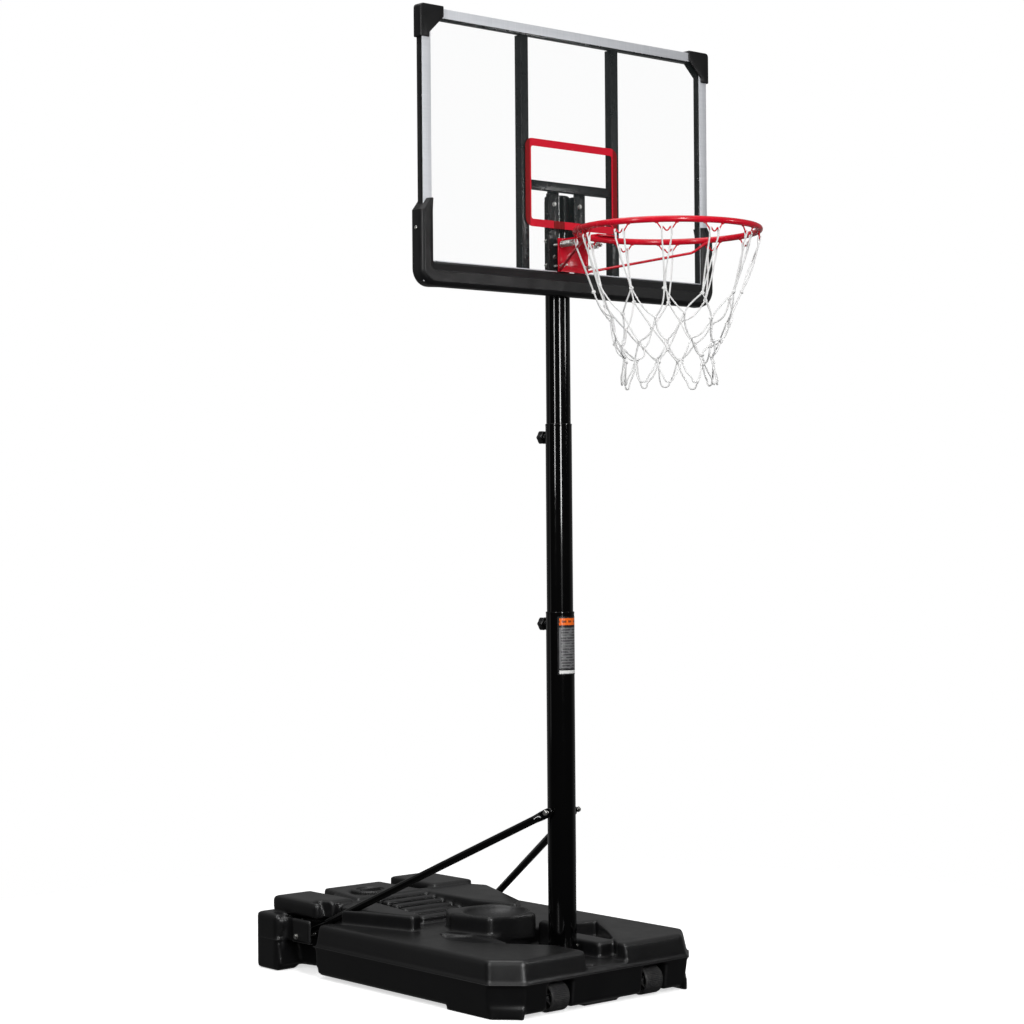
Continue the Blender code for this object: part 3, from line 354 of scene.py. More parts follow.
def print_finish():
    """Thin screen-printed ink on the sheet, with painted shade where the black rails and straps lie behind
    it.
    """
    mat = Finish("print_red", (0.58, 0.005, 0.020), 0.4)
    split = mat.node("SeparateXYZ")
    mat.put(split.inputs[0], mat.place())
    reach = mat.math("ABSOLUTE", split.outputs["X"])

    def behind(name):
        low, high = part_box(name)
        past = mat.math("GREATER_THAN", reach, low.x)
        short = mat.math("LESS_THAN", reach, high.x)
        below = mat.math("LESS_THAN", split.outputs["Z"], high.z)
        return mat.math("MULTIPLY", mat.math("MULTIPLY", past, short), below)

    # painted shade: the ink is coloured dark over the rails and straps behind the sheet, standing in for
    # their darkness showing through
    painted_rail_shade = mat.math("MAXIMUM", behind("vertical_rail_right"), behind("mount_strap_right"))
    tone = mat.mix(mat.noise(35.0, 5.0, 0.7), (0.52, 0.004, 0.018), (0.62, 0.007, 0.026))
    mat.color(mat.mix(painted_rail_shade, tone, (0.20, 0.004, 0.006)))
    mat.rough(mat.map(mat.noise(120.0), 0.3, 0.7, 0.34, 0.48))
    mat.set("Specular IOR Level", 0.15)
    mat.bump(mat.noise(2500.0, 1.0), 0.00002, 0.6)
    return mat


def trim_finish():
    """Satin anodised aluminium, drawn lengthwise."""
    mat = Finish("trim_aluminium", (0.60, 0.62, 0.65), 0.48, 0.30)
    lines = mat.noise(240.0, 4.0, 0.7, (1, 1, 0.02))
    across = mat.noise(240.0, 4.0, 0.7, (0.02, 1, 1))
    both = mat.math("MULTIPLY", lines, across)
    mat.color(mat.mix(mat.map(both, 0.12, 0.42, 0.0, 1.0), (0.56, 0.58, 0.61), (0.68, 0.69, 0.72)))
    mat.rough(mat.map(both, 0.1, 0.45, 0.42, 0.55))
    mat.bump(both, 0.00003, 0.35)
    return mat


def zinc_finish():
    """Bright zinc plate, slightly uneven."""
    mat = Finish("zinc_steel", (0.62, 0.62, 0.60), 0.28, 1.0)
    blotch = mat.map(mat.noise(160.0, 4.0, 0.7), 0.35, 0.7, 0.0, 1.0)
    mat.color(mat.mix(blotch, (0.66, 0.66, 0.65), (0.50, 0.49, 0.45)))
    mat.rough(mat.map(mat.noise(420.0, 4.0), 0.3, 0.7, 0.20, 0.42))
    mat.bump(mat.noise(1800.0, 2.0), 0.00003, 0.4)
    return mat


def clear_finish():
    """Clear polycarbonate: almost nothing but its gloss and its faint edge tint."""
    mat = Finish("clear_polycarbonate", (0.20, 0.26, 0.26), 0.04)
    mat.set("Alpha", 0.02)
    mat.rough(mat.map(mat.noise(9.0, 5.0, 0.7), 0.45, 0.8, 0.03, 0.09))
    mat.bump(mat.noise(3.0, 1.0), 0.0006, 0.1)
    return mat


def cord_finish():
    """Braided white polyester cord."""
    mat = Finish("net_cord", (0.80, 0.80, 0.79), 0.75)
    braid = mat.cells(950.0, (1, 1, 0.55))
    mat.color(mat.mix(mat.map(braid, 0.1, 0.7, 0.0, 1.0), (0.90, 0.90, 0.89), (0.66, 0.66, 0.66)))
    mat.rough(mat.map(mat.noise(500.0), 0.3, 0.7, 0.66, 0.86))
    mat.set("Sheen Weight", 0.3)
    mat.set("Sheen Roughness", 0.4)
    mat.bump(braid, 0.00035, 0.7)
    return mat


# The label's print, as angles from its middle and shares of its height
LABEL_EDGE = radians(46)
RULE_EDGE = radians(40)
RULES = 21
WHITE_STRIP = (0.02, 0.075)
RULED_FIELD = (0.105, 0.815)
ORANGE_BAND = (0.855, 0.975)
DASHED_LINE = (0.90, 0.935)


def label_finish():
    """A generic printed label: a plain orange band over a ruled grey field and a white strip."""
    low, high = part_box("pole_sticker")
    mat = Finish("label_vinyl", (0.02, 0.02, 0.02), 0.32)
    split = mat.node("SeparateXYZ")
    mat.put(split.inputs[0], mat.place())
    height = mat.map(split.outputs["Z"], low.z, high.z, 0.0, 1.0)
    angle = mat.math("ARCTAN2", split.outputs["X"], mat.math("MULTIPLY", split.outputs["Y"], -1.0))
    reach = mat.math("ABSOLUTE", angle)
    inside = mat.math("LESS_THAN", reach, LABEL_EDGE)

    def band(bottom, top):
        above = mat.math("GREATER_THAN", height, bottom)
        below = mat.math("LESS_THAN", height, top)
        return mat.math("MULTIPLY", mat.math("MULTIPLY", above, below), inside)

    rules = mat.math("SINE", mat.math("MULTIPLY", height, 2 * pi * RULES))
    ruled = mat.math("GREATER_THAN", rules, -0.2)
    ruled = mat.math("MULTIPLY", ruled, mat.math("LESS_THAN", reach, RULE_EDGE))
    breaks = mat.math("GREATER_THAN", mat.noise(70.0, 1.0, 0.5, (1, 1, 3)), 0.44)
    ruled = mat.math("MULTIPLY", ruled, breaks)
    field = mat.mix(mat.math("MULTIPLY", ruled, 0.85), (0.18, 0.18, 0.185), (0.022, 0.022, 0.024))
    shade = mat.mix(band(*RULED_FIELD), (0.012, 0.012, 0.013), field)
    shade = mat.mix(band(*ORANGE_BAND), shade, (0.95, 0.16, 0.012))
    dashes = mat.math("GREATER_THAN", mat.noise(160.0, 0.0, 0.5, (1, 1, 0.2)), 0.55)
    dashes = mat.math("MULTIPLY", dashes, band(*DASHED_LINE))
    shade = mat.mix(mat.math("MULTIPLY", dashes, 0.8), shade, (0.06, 0.02, 0.01))
    shade = mat.mix(band(*WHITE_STRIP), shade, (0.85, 0.85, 0.84))
    mat.color(shade)
    mat.rough(mat.map(mat.noise(90.0), 0.3, 0.7, 0.26, 0.40))
    mat.bump(mat.noise(50.0, 2.0), 0.00008, 0.3)
    return mat


FINISHES = {}
for make_finish in (
    moulded_finish, wheel_finish, pole_finish, frame_finish, pad_finish, rim_finish, print_finish,
    trim_finish, zinc_finish, clear_finish, cord_finish, label_finish,
):
    finish = make_finish().material
    FINISHES[finish.name.split(".")[0]] = finish


# ---------------------------------------------------------------- modelling helpers


def piece(name, mesh, slot, body, *replaced, angle=35):
    """A new visible piece, smooth but for its sharp edges, riding on a body."""
    obj = added(name, mesh)
    mesh.materials.clear()
    mesh.materials.append(FINISHES[slot])
    mesh.shade_smooth()
    mesh.set_sharp_from_angle(angle=radians(angle))
    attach(obj, body)
    if replaced:
        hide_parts(*replaced)
    return obj


def detailed(node, mesh, slot, body, angle=35):
    """The detailed piece that stands for a CAD node."""
    return piece(f"{node}_detailed", mesh, slot, body, node, angle=angle)


def to_mesh(name, bm):
    bmesh.ops.recalc_face_normals(bm, faces=bm.faces)
    return stored(name, bm)


def evaluated(obj):
    """The object's mesh with its modifiers applied. The object is removed."""
    bpy.context.view_layer.update()
    graph = bpy.context.evaluated_depsgraph_get()
    mesh = bpy.data.meshes.new_from_object(obj.evaluated_get(graph))
    mesh.transform(obj.matrix_world)
    bpy.data.objects.remove(obj)
    return mesh


def welded(node):
    """A copy of a CAD node's mesh whose faces share their corners."""
    bm = bmesh.new()
    bm.from_mesh(NODES[node].data)
    bmesh.ops.remove_doubles(bm, verts=bm.verts, dist=0.000004)
    return bm


def node_copy(node):
    """An object with a welded copy of a CAD node's mesh, its flat faces whole again."""
    bm = welded(node)
    bmesh.ops.dissolve_limit(bm, angle_limit=radians(0.5), verts=bm.verts, edges=bm.edges)
    return added("helper", stored(node, bm))


def refined(node, slot, body, bevel, segments, angle=35):
    """The CAD node again with its edges rounded over."""
    obj = node_copy(node)
    soften = obj.modifiers.new("Bevel", "BEVEL")
    soften.width = bevel
    soften.segments = segments
    soften.limit_method = "ANGLE"
    soften.angle_limit = radians(30)
    return piece(f"{node}_finished", evaluated(obj), slot, body, node, angle=angle)


def wire(points, radius, sides=5, cyclic=False, sub=1):
    """A round wire along points, as a mesh."""
    data = bpy.data.curves.new("wire", "CURVE")
    data.dimensions = "3D"
    data.bevel_depth = radius
    data.bevel_resolution = sides
    data.use_fill_caps = True
    spline = data.splines.new("POLY")
    points = smooth_path(points, sub, cyclic)
    spline.points.add(len(points) - 1)
    for point, place in zip(spline.points, points):
        point.co = (*place, 1)
    spline.use_cyclic_u = cyclic
    return evaluated(added("wire", data))


def smooth_path(points, sub, cyclic=False):
    """Catmull-Rom points through the given ones, sub steps to a span."""
    if sub == 1:
        return points
    points = [Vector(p) for p in points]
    count = len(points)
    spans = count if cyclic else count - 1
    path = []
    for i in range(spans):
        if cyclic:
            a, b, c, d = (points[(i + k) % count] for k in (-1, 0, 1, 2))
        else:
            a, b, c, d = (points[min(max(i + k, 0), count - 1)] for k in (-1, 0, 1, 2))
        for step in range(sub):
            t = step / sub
            square = 2 * a - 5 * b + 4 * c - d
            cube = 3 * b - a - 3 * c + d
            path.append(0.5 * (2 * b + (c - a) * t + square * t * t + cube * t ** 3))
    if not cyclic:
        path.append(points[-1])
    return path


def joined(name, meshes):
    """Several meshes as one."""
    bm = bmesh.new()
    for mesh in meshes:
        bm.from_mesh(mesh)
        bpy.data.meshes.remove(mesh)
    return stored(name, bm)


AXES = {
    "X": Matrix(((0, 0, 1), (0, 1, 0), (-1, 0, 0))).to_4x4(),
    "Y": Matrix(((1, 0, 0), (0, 0, 1), (0, -1, 0))).to_4x4(),
    "Z": Matrix.Identity(4),
}


def turned(profile, axis="Z", centre=(0, 0, 0), steps=96, wave=None):
    """Turns closed (radius, along) points about an axis. wave(angle, index) adds to a point's radius."""
    bm = bmesh.new()
    rings = []
    for step in range(steps):
        angle = 2 * pi * step / steps
        ring = []
        for index, (radius, along) in enumerate(profile):
            radius += wave(angle, index) if wave else 0.0
            ring.append(bm.verts.new((radius * cos(angle), radius * sin(angle), along)))
        rings.append(ring)
    count = len(profile)
    for step in range(steps):
        ring, after = rings[step], rings[(step + 1) % steps]
        for i in range(count):
            j = (i + 1) % count
            bm.faces.new((ring[i], after[i], after[j], ring[j]))
    bmesh.ops.remove_doubles(bm, verts=bm.verts, dist=0.0000005)
    bm.transform(Matrix.Translation(centre) @ AXES[axis])
    return to_mesh("turned", bm)


def rounded(profile, radius, steps=3):
    """The closed outline with each corner cut back by radius and rounded."""
    result = []
    count = len(profile)
    for i, corner in enumerate(profile):
        before, after = Vector(profile[i - 1]), Vector(profile[(i + 1) % count])
        corner = Vector(corner)
        if corner.x < 0.0000001:
            result.append(tuple(corner))
            continue
        into, out = before - corner, after - corner
        cut = min(radius, into.length * 0.45, out.length * 0.45)
        first, last = corner + into.normalized() * cut, corner + out.normalized() * cut
        for step in range(steps + 1):
            t = step / steps
            result.append(tuple(first * (1 - t) ** 2 + corner * 2 * t * (1 - t) + last * t * t))
    return result


# ---------------------------------------------------------------- fasteners


def hex_prism(bm, radius, low, high, chamfer):
    """A hexagon across corners of 2 x radius along Z, its corners chamfered at both ends."""
    flat = radius * cos(pi / 6)
    inset = flat * 0.97
    loops = []
    for height, corner in ((low, inset), (low + chamfer, radius), (high - chamfer, radius), (high, inset)):
        loop = []
        for i in range(12):
            middle = inset if height in (low, high) else flat
            reach = corner if i % 2 == 0 else middle
            angle = 2 * pi * i / 12
            loop.append(bm.verts.new((reach * cos(angle), reach * sin(angle), height)))
        loops.append(loop)
    stitch(bm, loops)


def stitch(bm, loops):
    """Joins each loop of vertices to the next and closes both ends."""
    count = len(loops[0])
    for low, high in zip(loops, loops[1:]):
        for i in range(count):
            j = (i + 1) % count
            bm.faces.new((low[i], low[j], high[j], high[i]))
    bm.faces.new(list(reversed(loops[0])))
    bm.faces.new(loops[-1])


THREAD_PITCH = 0.0010
THREAD_DEPTH = 0.0006
WASHER_THICK = 0.0009


def threaded(bm, radius, low, high, sides=20):
    """A threaded shank along Z: the thread winds up it as a ramped ridge."""
    loops = []
    steps = max(4, round((high - low) / THREAD_PITCH * 5))
    for step in range(steps + 1):
        height = low + (high - low) * step / steps
        end = min(step, steps - step) == 0
        loop = []
        for i in range(sides):
            phase = (height / THREAD_PITCH - i / sides) % 1.0
            depth = 0.0009 if end else THREAD_DEPTH * abs(2 * phase - 1)
            angle = 2 * pi * i / sides
            loop.append(bm.verts.new(((radius - depth) * cos(angle), (radius - depth) * sin(angle), height)))
        loops.append(loop)
    stitch(bm, loops)


def washer(bm, radius, low, high, sides=32):
    loops = []
    inset, bevel = radius * 0.96, 0.0002
    for reach, height in ((inset, low), (radius, low + bevel), (radius, high - bevel), (inset, high)):
        ring = [2 * pi * i / sides for i in range(sides)]
        loops.append([bm.verts.new((reach * cos(a), reach * sin(a), height)) for a in ring])
    stitch(bm, loops)


# Node, body, axis, which end the head is at, shank radius, and the nut as distances from the tip.
BOLTS = [
    ("brace_foot_bolt_left", "base", "X", -1, 0.004, None),
    ("brace_foot_bolt_right", "base", "X", 1, 0.004, None),
    ("brace_top_bolt", "base", "X", -1, 0.004, (0.0035, 0.010)),
    ("pole_foot_bolt", "base", "X", -1, 0.004, (0.0050, 0.0115)),
    ("cross_bolt_lower", "head", "X", 1, 0.003, (0.0045, 0.010)),
    ("cross_bolt_upper", "head", "X", 1, 0.003, (0.0045, 0.010)),
]
for side_name, _ in SIDES:
    BOLTS += [
        (f"strap_bolt_lower_{side_name}", "head", "Y", -1, 0.003, (0.0025, 0.007)),
        (f"strap_bolt_upper_{side_name}", "head", "Y", -1, 0.003, (0.0025, 0.007)),
        (f"rim_spring_bolt_{side_name}", "head", "Y", 1, 0.003, (0.003, 0.009)),
        (f"rim_lower_bolt_{side_name}", "head", "Y", 1, 0.003, (0.013, 0.0205)),
    ]


def bolt(node, body, axis, head_end, radius, nut):
    """A hexagon bolt with its washer, thread and nut, run along the CAD bolt's own length."""
    low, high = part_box(node)
    index = "XYZ".index(axis)
    start, end = low[index], high[index]
    centre = (low + high) / 2
    centre[index] = 0
    head = radius * 1.2
    bm = bmesh.new()
    top, tip = (start, end) if head_end < 0 else (end, start)
    plain = top - head_end * head
    hex_prism(bm, radius * 1.85, *sorted((top, plain)), head * 0.22)
    washer(bm, radius * 2.0, *sorted((plain, plain - head_end * WASHER_THICK)))
    threaded(bm, radius, *sorted((plain, tip)))
    if nut:
        span = sorted((tip + head_end * nut[0], tip + head_end * nut[1]))
        hex_prism(bm, radius * 1.9, *span, 0.0008)
    bm.transform(Matrix.Translation(centre) @ AXES[axis])
    detailed(node, to_mesh(node, bm), "zinc_steel", body, 28)


def make_bolts():
    for row in BOLTS:
        bolt(*row)
    for side_name, side in SIDES:
        node = f"pad_screw_{side_name}"
        low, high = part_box(node)
        centre, radius = (low + high) / 2, (high.z - low.z) / 2
        inner, face = (low.x, high.x) if side > 0 else (high.x, low.x)
        recess = face - side * 0.0014
        profile = [(0, inner), (radius, inner), (radius, face - side * 0.0012), (radius * 0.8, face),
                   (radius * 0.38, face), (radius * 0.30, recess), (0, recess)]
        mesh = turned(rounded(profile, 0.0004), "X", (0, centre.y, centre.z), 40)
        detailed(node, mesh, "zinc_steel", "head")


# ---------------------------------------------------------------- base

SEAM_Z = 0.089
SHELL_VOXEL = 0.0042
SHELL_SMOOTHING = 5
SHELL_KEEP = 0.42
SCOOP = ((-0.186, 0.290), (-0.226, 0.190), (-0.208, 0.120), (-0.138, 0.036), (-0.138, 0.210))
SCOOP_PIVOT = Vector((-0.180, 0.160, 0))
SCOOP_Z = 0.139
SCOOP_CUT = 0.016
RIB_X = 0.3490
RIB_Y = 0.7900


def box_mesh(low, high, bevel=0.0):
    low, high = Vector(low), Vector(high)
    bm = bmesh.new()
    bmesh.ops.create_cube(bm, size=1.0)
    bmesh.ops.scale(bm, vec=high - low, verts=bm.verts)
    bmesh.ops.translate(bm, vec=(low + high) / 2, verts=bm.verts)
    if bevel:
        bmesh.ops.bevel(bm, geom=bm.edges[:], offset=bevel, segments=3, affect="EDGES", profile=0.5)
    return to_mesh("box", bm)


def prism(outline, low, high):
    """An upright prism on an outline of (x, y) points."""
    bm = bmesh.new()
    loops = [[bm.verts.new((x, y, z)) for x, y in outline] for z in (low, high)]
    stitch(bm, loops)
    return to_mesh("prism", bm)


def boolean(obj, mesh, operation):
    other = added("helper", mesh)
    modifier = obj.modifiers.new(operation, "BOOLEAN")
    modifier.operation = operation
    modifier.solver = "EXACT"
    modifier.object = other
    made = added("helper", evaluated(obj))
    bpy.data.objects.remove(other)
    return made


def base_shell():
    """The tank's outer skin: the CAD tank with its mould details, every edge softly rounded."""
    shell = node_copy("base_tank")
    scoop = prism(SCOOP, 0, SCOOP_CUT)
    tilt = Matrix.Translation(SCOOP_PIVOT + Vector((0, 0, SCOOP_Z))) @ Matrix.Rotation(radians(-7), 4, "Y")
    scoop.transform(tilt @ Matrix.Translation(-SCOOP_PIVOT))
    shell = boolean(shell, scoop, "DIFFERENCE")
    cap_low, cap_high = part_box("fill_cap")
    cap_radius = (cap_high.x - cap_low.x) / 2
    groove = [
        (cap_radius + 0.001, 0.20), (cap_radius + 0.001, 0.1955),
        (cap_radius + 0.009, 0.1955), (cap_radius + 0.012, 0.21),
    ]
    centre = (cap_low + cap_high) / 2
    shell = boolean(shell, turned(groove, "Z", (centre.x, centre.y, 0), 64), "DIFFERENCE")
    for side in (-1, 1):
        rib = box_mesh((-0.0035, -0.0045, 0.064), (0.0035, 0.0045, 0.148))
        rib.transform(Matrix.Translation((side * RIB_X, RIB_Y, 0)))
        shell = boolean(shell, rib, "UNION")
    remesh = shell.modifiers.new("Remesh", "REMESH")
    remesh.mode = "VOXEL"
    remesh.voxel_size = SHELL_VOXEL
    soften = shell.modifiers.new("Smooth", "SMOOTH")
    soften.factor = 0.5
    soften.iterations = SHELL_SMOOTHING
    fewer = shell.modifiers.new("Decimate", "DECIMATE")
    fewer.ratio = SHELL_KEEP
    mesh = evaluated(shell)
    piece("base_tank_shell", mesh, "moulded_plastic", "base", "base_tank", angle=60)


def seam_bead():
    """The parting bead that runs round the tank where the mould halves met."""
    bm = welded("base_tank")
    everything = bm.verts[:] + bm.edges[:] + bm.faces[:]
    cut = bmesh.ops.bisect_plane(bm, geom=everything, plane_co=(0, 0, SEAM_Z), plane_no=(0, 0, 1))
    edges = [e for e in cut["geom_cut"] if isinstance(e, bmesh.types.BMEdge)]
    near = {}
    for edge in edges:
        a, b = edge.verts
        near.setdefault(a, []).append(b)
        near.setdefault(b, []).append(a)
    start = max(near, key=lambda v: v.co.x)
    loop, last = [start], None
    while True:
        options = [v for v in near[loop[-1]] if v is not last]
        last = loop[-1]
        if not options or options[0] is start:
            break
        loop.append(options[0])
    points = [Vector(v.co) for v in loop]
    bm.free()
    middle = sum(points, Vector()) / len(points)
    points = [p + (middle - p).normalized() * 0.0012 for p in points]
    piece("base_seam_bead", wire(points, 0.0009, 3, cyclic=True), "moulded_plastic", "base")


def fill_cap():
    """The round cap: a knurled rim, a stepped face and a grip bar across it."""
    low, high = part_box("fill_cap")
    centre = (low + high) / 2
    radius = (high.x - low.x) / 2
    deck, crown = 0.1883, 0.2100
    profile = [
        (0, 0.2045), (0.030, 0.2045), (0.032, 0.2062), (0.040, 0.2062), (0.043, crown), (0.051, crown),
        (radius - 0.001, 0.2065), (radius - 0.001, deck), (0.0225, deck), (0.0225, low.z), (0, low.z),
    ]
    profile = rounded(profile, 0.0012)
    knurls = 44

    def wave(angle, index):
        r, z = profile[index]
        return -0.0009 * (0.5 - 0.5 * cos(knurls * angle)) if r > radius - 0.004 and z > deck + 0.001 else 0.0

    cap = turned(profile, "Z", (centre.x, centre.y, 0), 264, wave)
    grip = box_mesh((-0.0335, -0.0055, 0.2035), (0.0335, 0.0055, high.z), 0.0018)
    grip.transform(Matrix.Translation((centre.x, centre.y, 0)))
    detailed("fill_cap", joined("fill_cap", [cap, grip]), "moulded_plastic", "fill_cap", 40)


def wheel(side_name):
    """A moulded wheel: fine ribs across its tread, and a spoked dish on each face."""
    node = f"wheel_{side_name}"
    low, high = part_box(node)
    centre = (low + high) / 2
    half, radius = (high.x - low.x) / 2, (high.z - low.z) / 2
    bore = 0.0054
    hub, web = 0.013, radius - 0.009
    face = [
        (bore, half), (hub, half), (hub + 0.002, half - 0.009), (web, half - 0.009),
        (web + 0.002, half - 0.001), (radius - 0.0035, half), (radius, half - 0.0035),
    ]
    tread = [(radius, x * half / 5) for x in (4, 3, 2, 1, 0, -1, -2, -3, -4)]
    profile = rounded(face, 0.0008) + tread + rounded([(r, -x) for r, x in reversed(face)], 0.0008)
    ribs = 48

    def wave(angle, index):
        r, x = profile[index]
        inside = abs(x) < half - 0.004 and r > radius - 0.002
        return -0.0011 * (0.5 + 0.5 * cos(ribs * angle)) ** 4 if inside else 0.0

    tyre = turned(profile, "X", (centre.x, centre.y, centre.z), 288, wave)
    spokes = []
    for number in range(6):
        for end in (-1, 1):
            lo, hi = sorted((end * (half - 0.0095), end * (half - 0.0015)))
            spoke = box_mesh((lo, -0.0015, hub), (hi, 0.0015, web + 0.001), 0.0004)
            spoke.transform(Matrix.Translation(centre) @ Matrix.Rotation(2 * pi * number / 6, 4, "X"))
            spokes.append(spoke)
    detailed(node, joined(node, [tyre] + spokes), "wheel_plastic", node, 40)


def axle():
    """The wheels' rod, with a push-on retaining clip near each end."""
    low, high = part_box("wheel_axle")
    centre = (low + high) / 2
    radius = (high.z - low.z) / 2
    profile = [(0, low.x), (radius, low.x), (radius, high.x), (0, high.x)]
    rod = turned(rounded(profile, 0.001), "X", (0, centre.y, centre.z), 32)
    meshes = [rod]
    for x in (low.x + 0.004, high.x - 0.0066):
        clip = [(radius, x), (0.0082, x), (0.0082, x + 0.0012), (radius, x + 0.0024)]
        meshes.append(turned(rounded(clip, 0.0003), "X", (0, centre.y, centre.z), 32))
    detailed("wheel_axle", joined("axle", meshes), "zinc_steel", "base")


BRACE_TOP = Vector((0.0475, 0.0, 0.490))
BRACE_FOOT = Vector((0.333, 0.731, 0.1035))
BRACE_R = 0.0105


def brace(side_name, side):
    """A round tube whose ends are pressed flat, with a soft shoulder where the press began."""
    top = Vector((BRACE_TOP.x * side, BRACE_TOP.y, BRACE_TOP.z))
    foot = Vector((BRACE_FOOT.x * side, BRACE_FOOT.y, BRACE_FOOT.z))
    over, flat, blend = 0.012, 0.030, 0.032
    length = (top - foot).length + 2 * over
    near = [0, 0.0015, 0.004, 0.008, 0.014, flat] + [flat + blend * i / 10 for i in range(1, 11)]
    stations = near + [length - s for s in reversed(near)]
    sides = 32
    bm = bmesh.new()
    loops = []
    for station in stations:
        reach = min(station, length - station)
        share = min(max((reach - flat) / blend, 0), 1)
        share = share * share * (3 - 2 * share)
        thick = 0.0026 + (BRACE_R - 0.0026) * share
        wide = 0.0127 + (BRACE_R - 0.0127) * share
        if reach < 0.0125:
            wide = 0.0125 * sqrt(max(0.12, 1 - ((0.0125 - reach) / 0.0130) ** 2))
        thick *= 0.8 if reach == 0 else 1.0
        ring = [2 * pi * i / sides for i in range(sides)]
        loops.append([bm.verts.new((thick * cos(a), wide * sin(a), station)) for a in ring])
    stitch(bm, loops)
    along = (top - foot).normalized()
    across = (Vector((1, 0, 0)) - along * along.x).normalized()
    turn = Matrix((across, along.cross(across), along)).transposed().to_4x4()
    bm.transform(Matrix.Translation(foot - along * over) @ turn)
    detailed(f"brace_{side_name}", to_mesh("brace", bm), "pole_enamel", "base", 50)


def make_base():
    base_shell()
    seam_bead()
    fill_cap()
    axle()
    for side_name, side in SIDES:
        wheel(side_name)
        brace(side_name, side)


# ---------------------------------------------------------------- pole

TUBES = (("pole_lower_tube", "base"), ("pole_middle_tube", "mast_middle"), ("pole_upper_tube", "head"))
TUBE_WALL = 0.0015
KNOB_DROP = 0.034
WELD_R = 0.0102


def pole_tube(node, body):
    """One drawn tube with a rolled top edge, and the weld round its stud's boss."""
    low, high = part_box(node)
    radius = high.x
    top, bottom = high.z, low.z
    inner = radius - TUBE_WALL
    rolled = radius + 0.0004
    profile = [
        (inner, top), (inner, bottom), (radius, bottom), (radius, top - 0.006),
        (rolled, top - 0.004), (rolled, top - 0.0006), (radius, top),
    ]
    meshes = [turned(rounded(profile, 0.0006), "Z", (0, 0, 0), 128)]
    if high.y > radius + 0.002:
        middle = top - KNOB_DROP
        boss = [(0.0045, high.y), (0.0045, radius - 0.001), (0.0095, radius - 0.001), (0.0095, high.y)]
        meshes.append(turned(rounded(boss, 0.0007), "Y", (0, 0, middle), 40))
        ring = []
        for i in range(72):
            angle = 2 * pi * i / 72
            x = WELD_R * cos(angle)
            ripple = 0.00016 * sin(9 * angle)
            ring.append((x, sqrt(radius ** 2 - x ** 2) + 0.0004 + ripple, middle + WELD_R * sin(angle)))
        meshes.append(wire(ring, 0.0013, 3, cyclic=True))
    detailed(node, joined(node, meshes), "pole_enamel", body, 40)


def knob(name):
    """A six-lobed hand knob with a dished face and a collar. Its body has its node's name."""
    low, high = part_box(name)
    middle = (low.z + high.z) / 2
    reach = (high.z - low.z) / 2
    face, stud = high.y, low.y
    back = face - 0.022
    collar = back - 0.005
    profile = [
        (0, stud), (0.0038, stud), (0.0038, collar), (0.0098, collar), (0.0098, back), (reach - 0.002, back),
        (reach, back + 0.003), (reach, face - 0.005), (reach - 0.004, face), (0.010, face - 0.0006),
        (0.008, face - 0.0022), (0, face - 0.0022),
    ]
    profile = rounded(profile, 0.0012, 4)

    def wave(angle, index):
        r = profile[index][0]
        share = min(max((r - 0.010) / (reach - 0.010), 0), 1)
        return -0.0034 * share * (0.5 - 0.5 * cos(6 * angle)) ** 0.8

    mesh = turned(profile, "Y", (0, 0, middle), 144, wave)
    detailed(name, mesh, "moulded_plastic", name, 45)


def tube_cap():
    """The plug in the upper tube's top, with a low crown."""
    low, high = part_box("upper_tube_cap")
    radius, top = high.x, high.z
    lip = top - 0.0037
    plug = radius - 0.0018
    profile = [
        (0, top), (radius * 0.5, top - 0.0003), (radius - 0.003, top - 0.0012), (radius, top - 0.0030),
        (radius, lip), (plug, lip), (plug, low.z), (0, low.z),
    ]
    mesh = turned(rounded(profile, 0.0006), "Z", (0, 0, 0), 96)
    detailed("upper_tube_cap", mesh, "wheel_plastic", "head")


def make_pole():
    for node, body in TUBES:
        pole_tube(node, body)
    knob("lower_knob")
    knob("middle_knob")
    tube_cap()


# ---------------------------------------------------------------- backboard

PAD_INNER_X = 0.4795
PAD_LIP_Z = 1.920
PAD_CORNER_R = 0.045
PAD_TAPER = 0.030
PAD_MIDDLE_BACK = -0.0425


def pad_path(low, high):
    """Pairs of (inner, outer) points down the left arm, round the corner, along the bar and up again."""
    outer_x, bottom, top = high.x, low.z, high.z
    centre = Vector((outer_x - PAD_CORNER_R, bottom + PAD_CORNER_R))
    half = []
    drops = (0, 0.003, 0.008, 0.016, PAD_TAPER, 0.05, 0.09)
    for z in (*(top - drop for drop in drops), centre.y + 0.012):
        slant = max(0.0, 1 - (top - z) / PAD_TAPER)
        half.append((Vector((PAD_INNER_X, max(z, PAD_LIP_Z + 0.001))), Vector((outer_x - 0.024 * slant, z))))
    turns = 10
    for i in range(turns + 1):
        angle = pi / 2 * i / turns
        outer = centre + Vector((cos(angle), -sin(angle))) * PAD_CORNER_R
        half.append((Vector((PAD_INNER_X - 0.0012 * i / turns, PAD_LIP_Z + 0.0012 * (1 - i / turns))), outer))
    half.append((Vector((PAD_INNER_X - 0.03, PAD_LIP_Z)), Vector((PAD_INNER_X - 0.03, bottom))))
    half.append((Vector((PAD_INNER_X - 0.12, PAD_LIP_Z)), Vector((PAD_INNER_X - 0.12, bottom))))
    left = [(Vector((-i.x, i.y)), Vector((-o.x, o.y))) for i, o in half]
    return left + list(reversed(half))


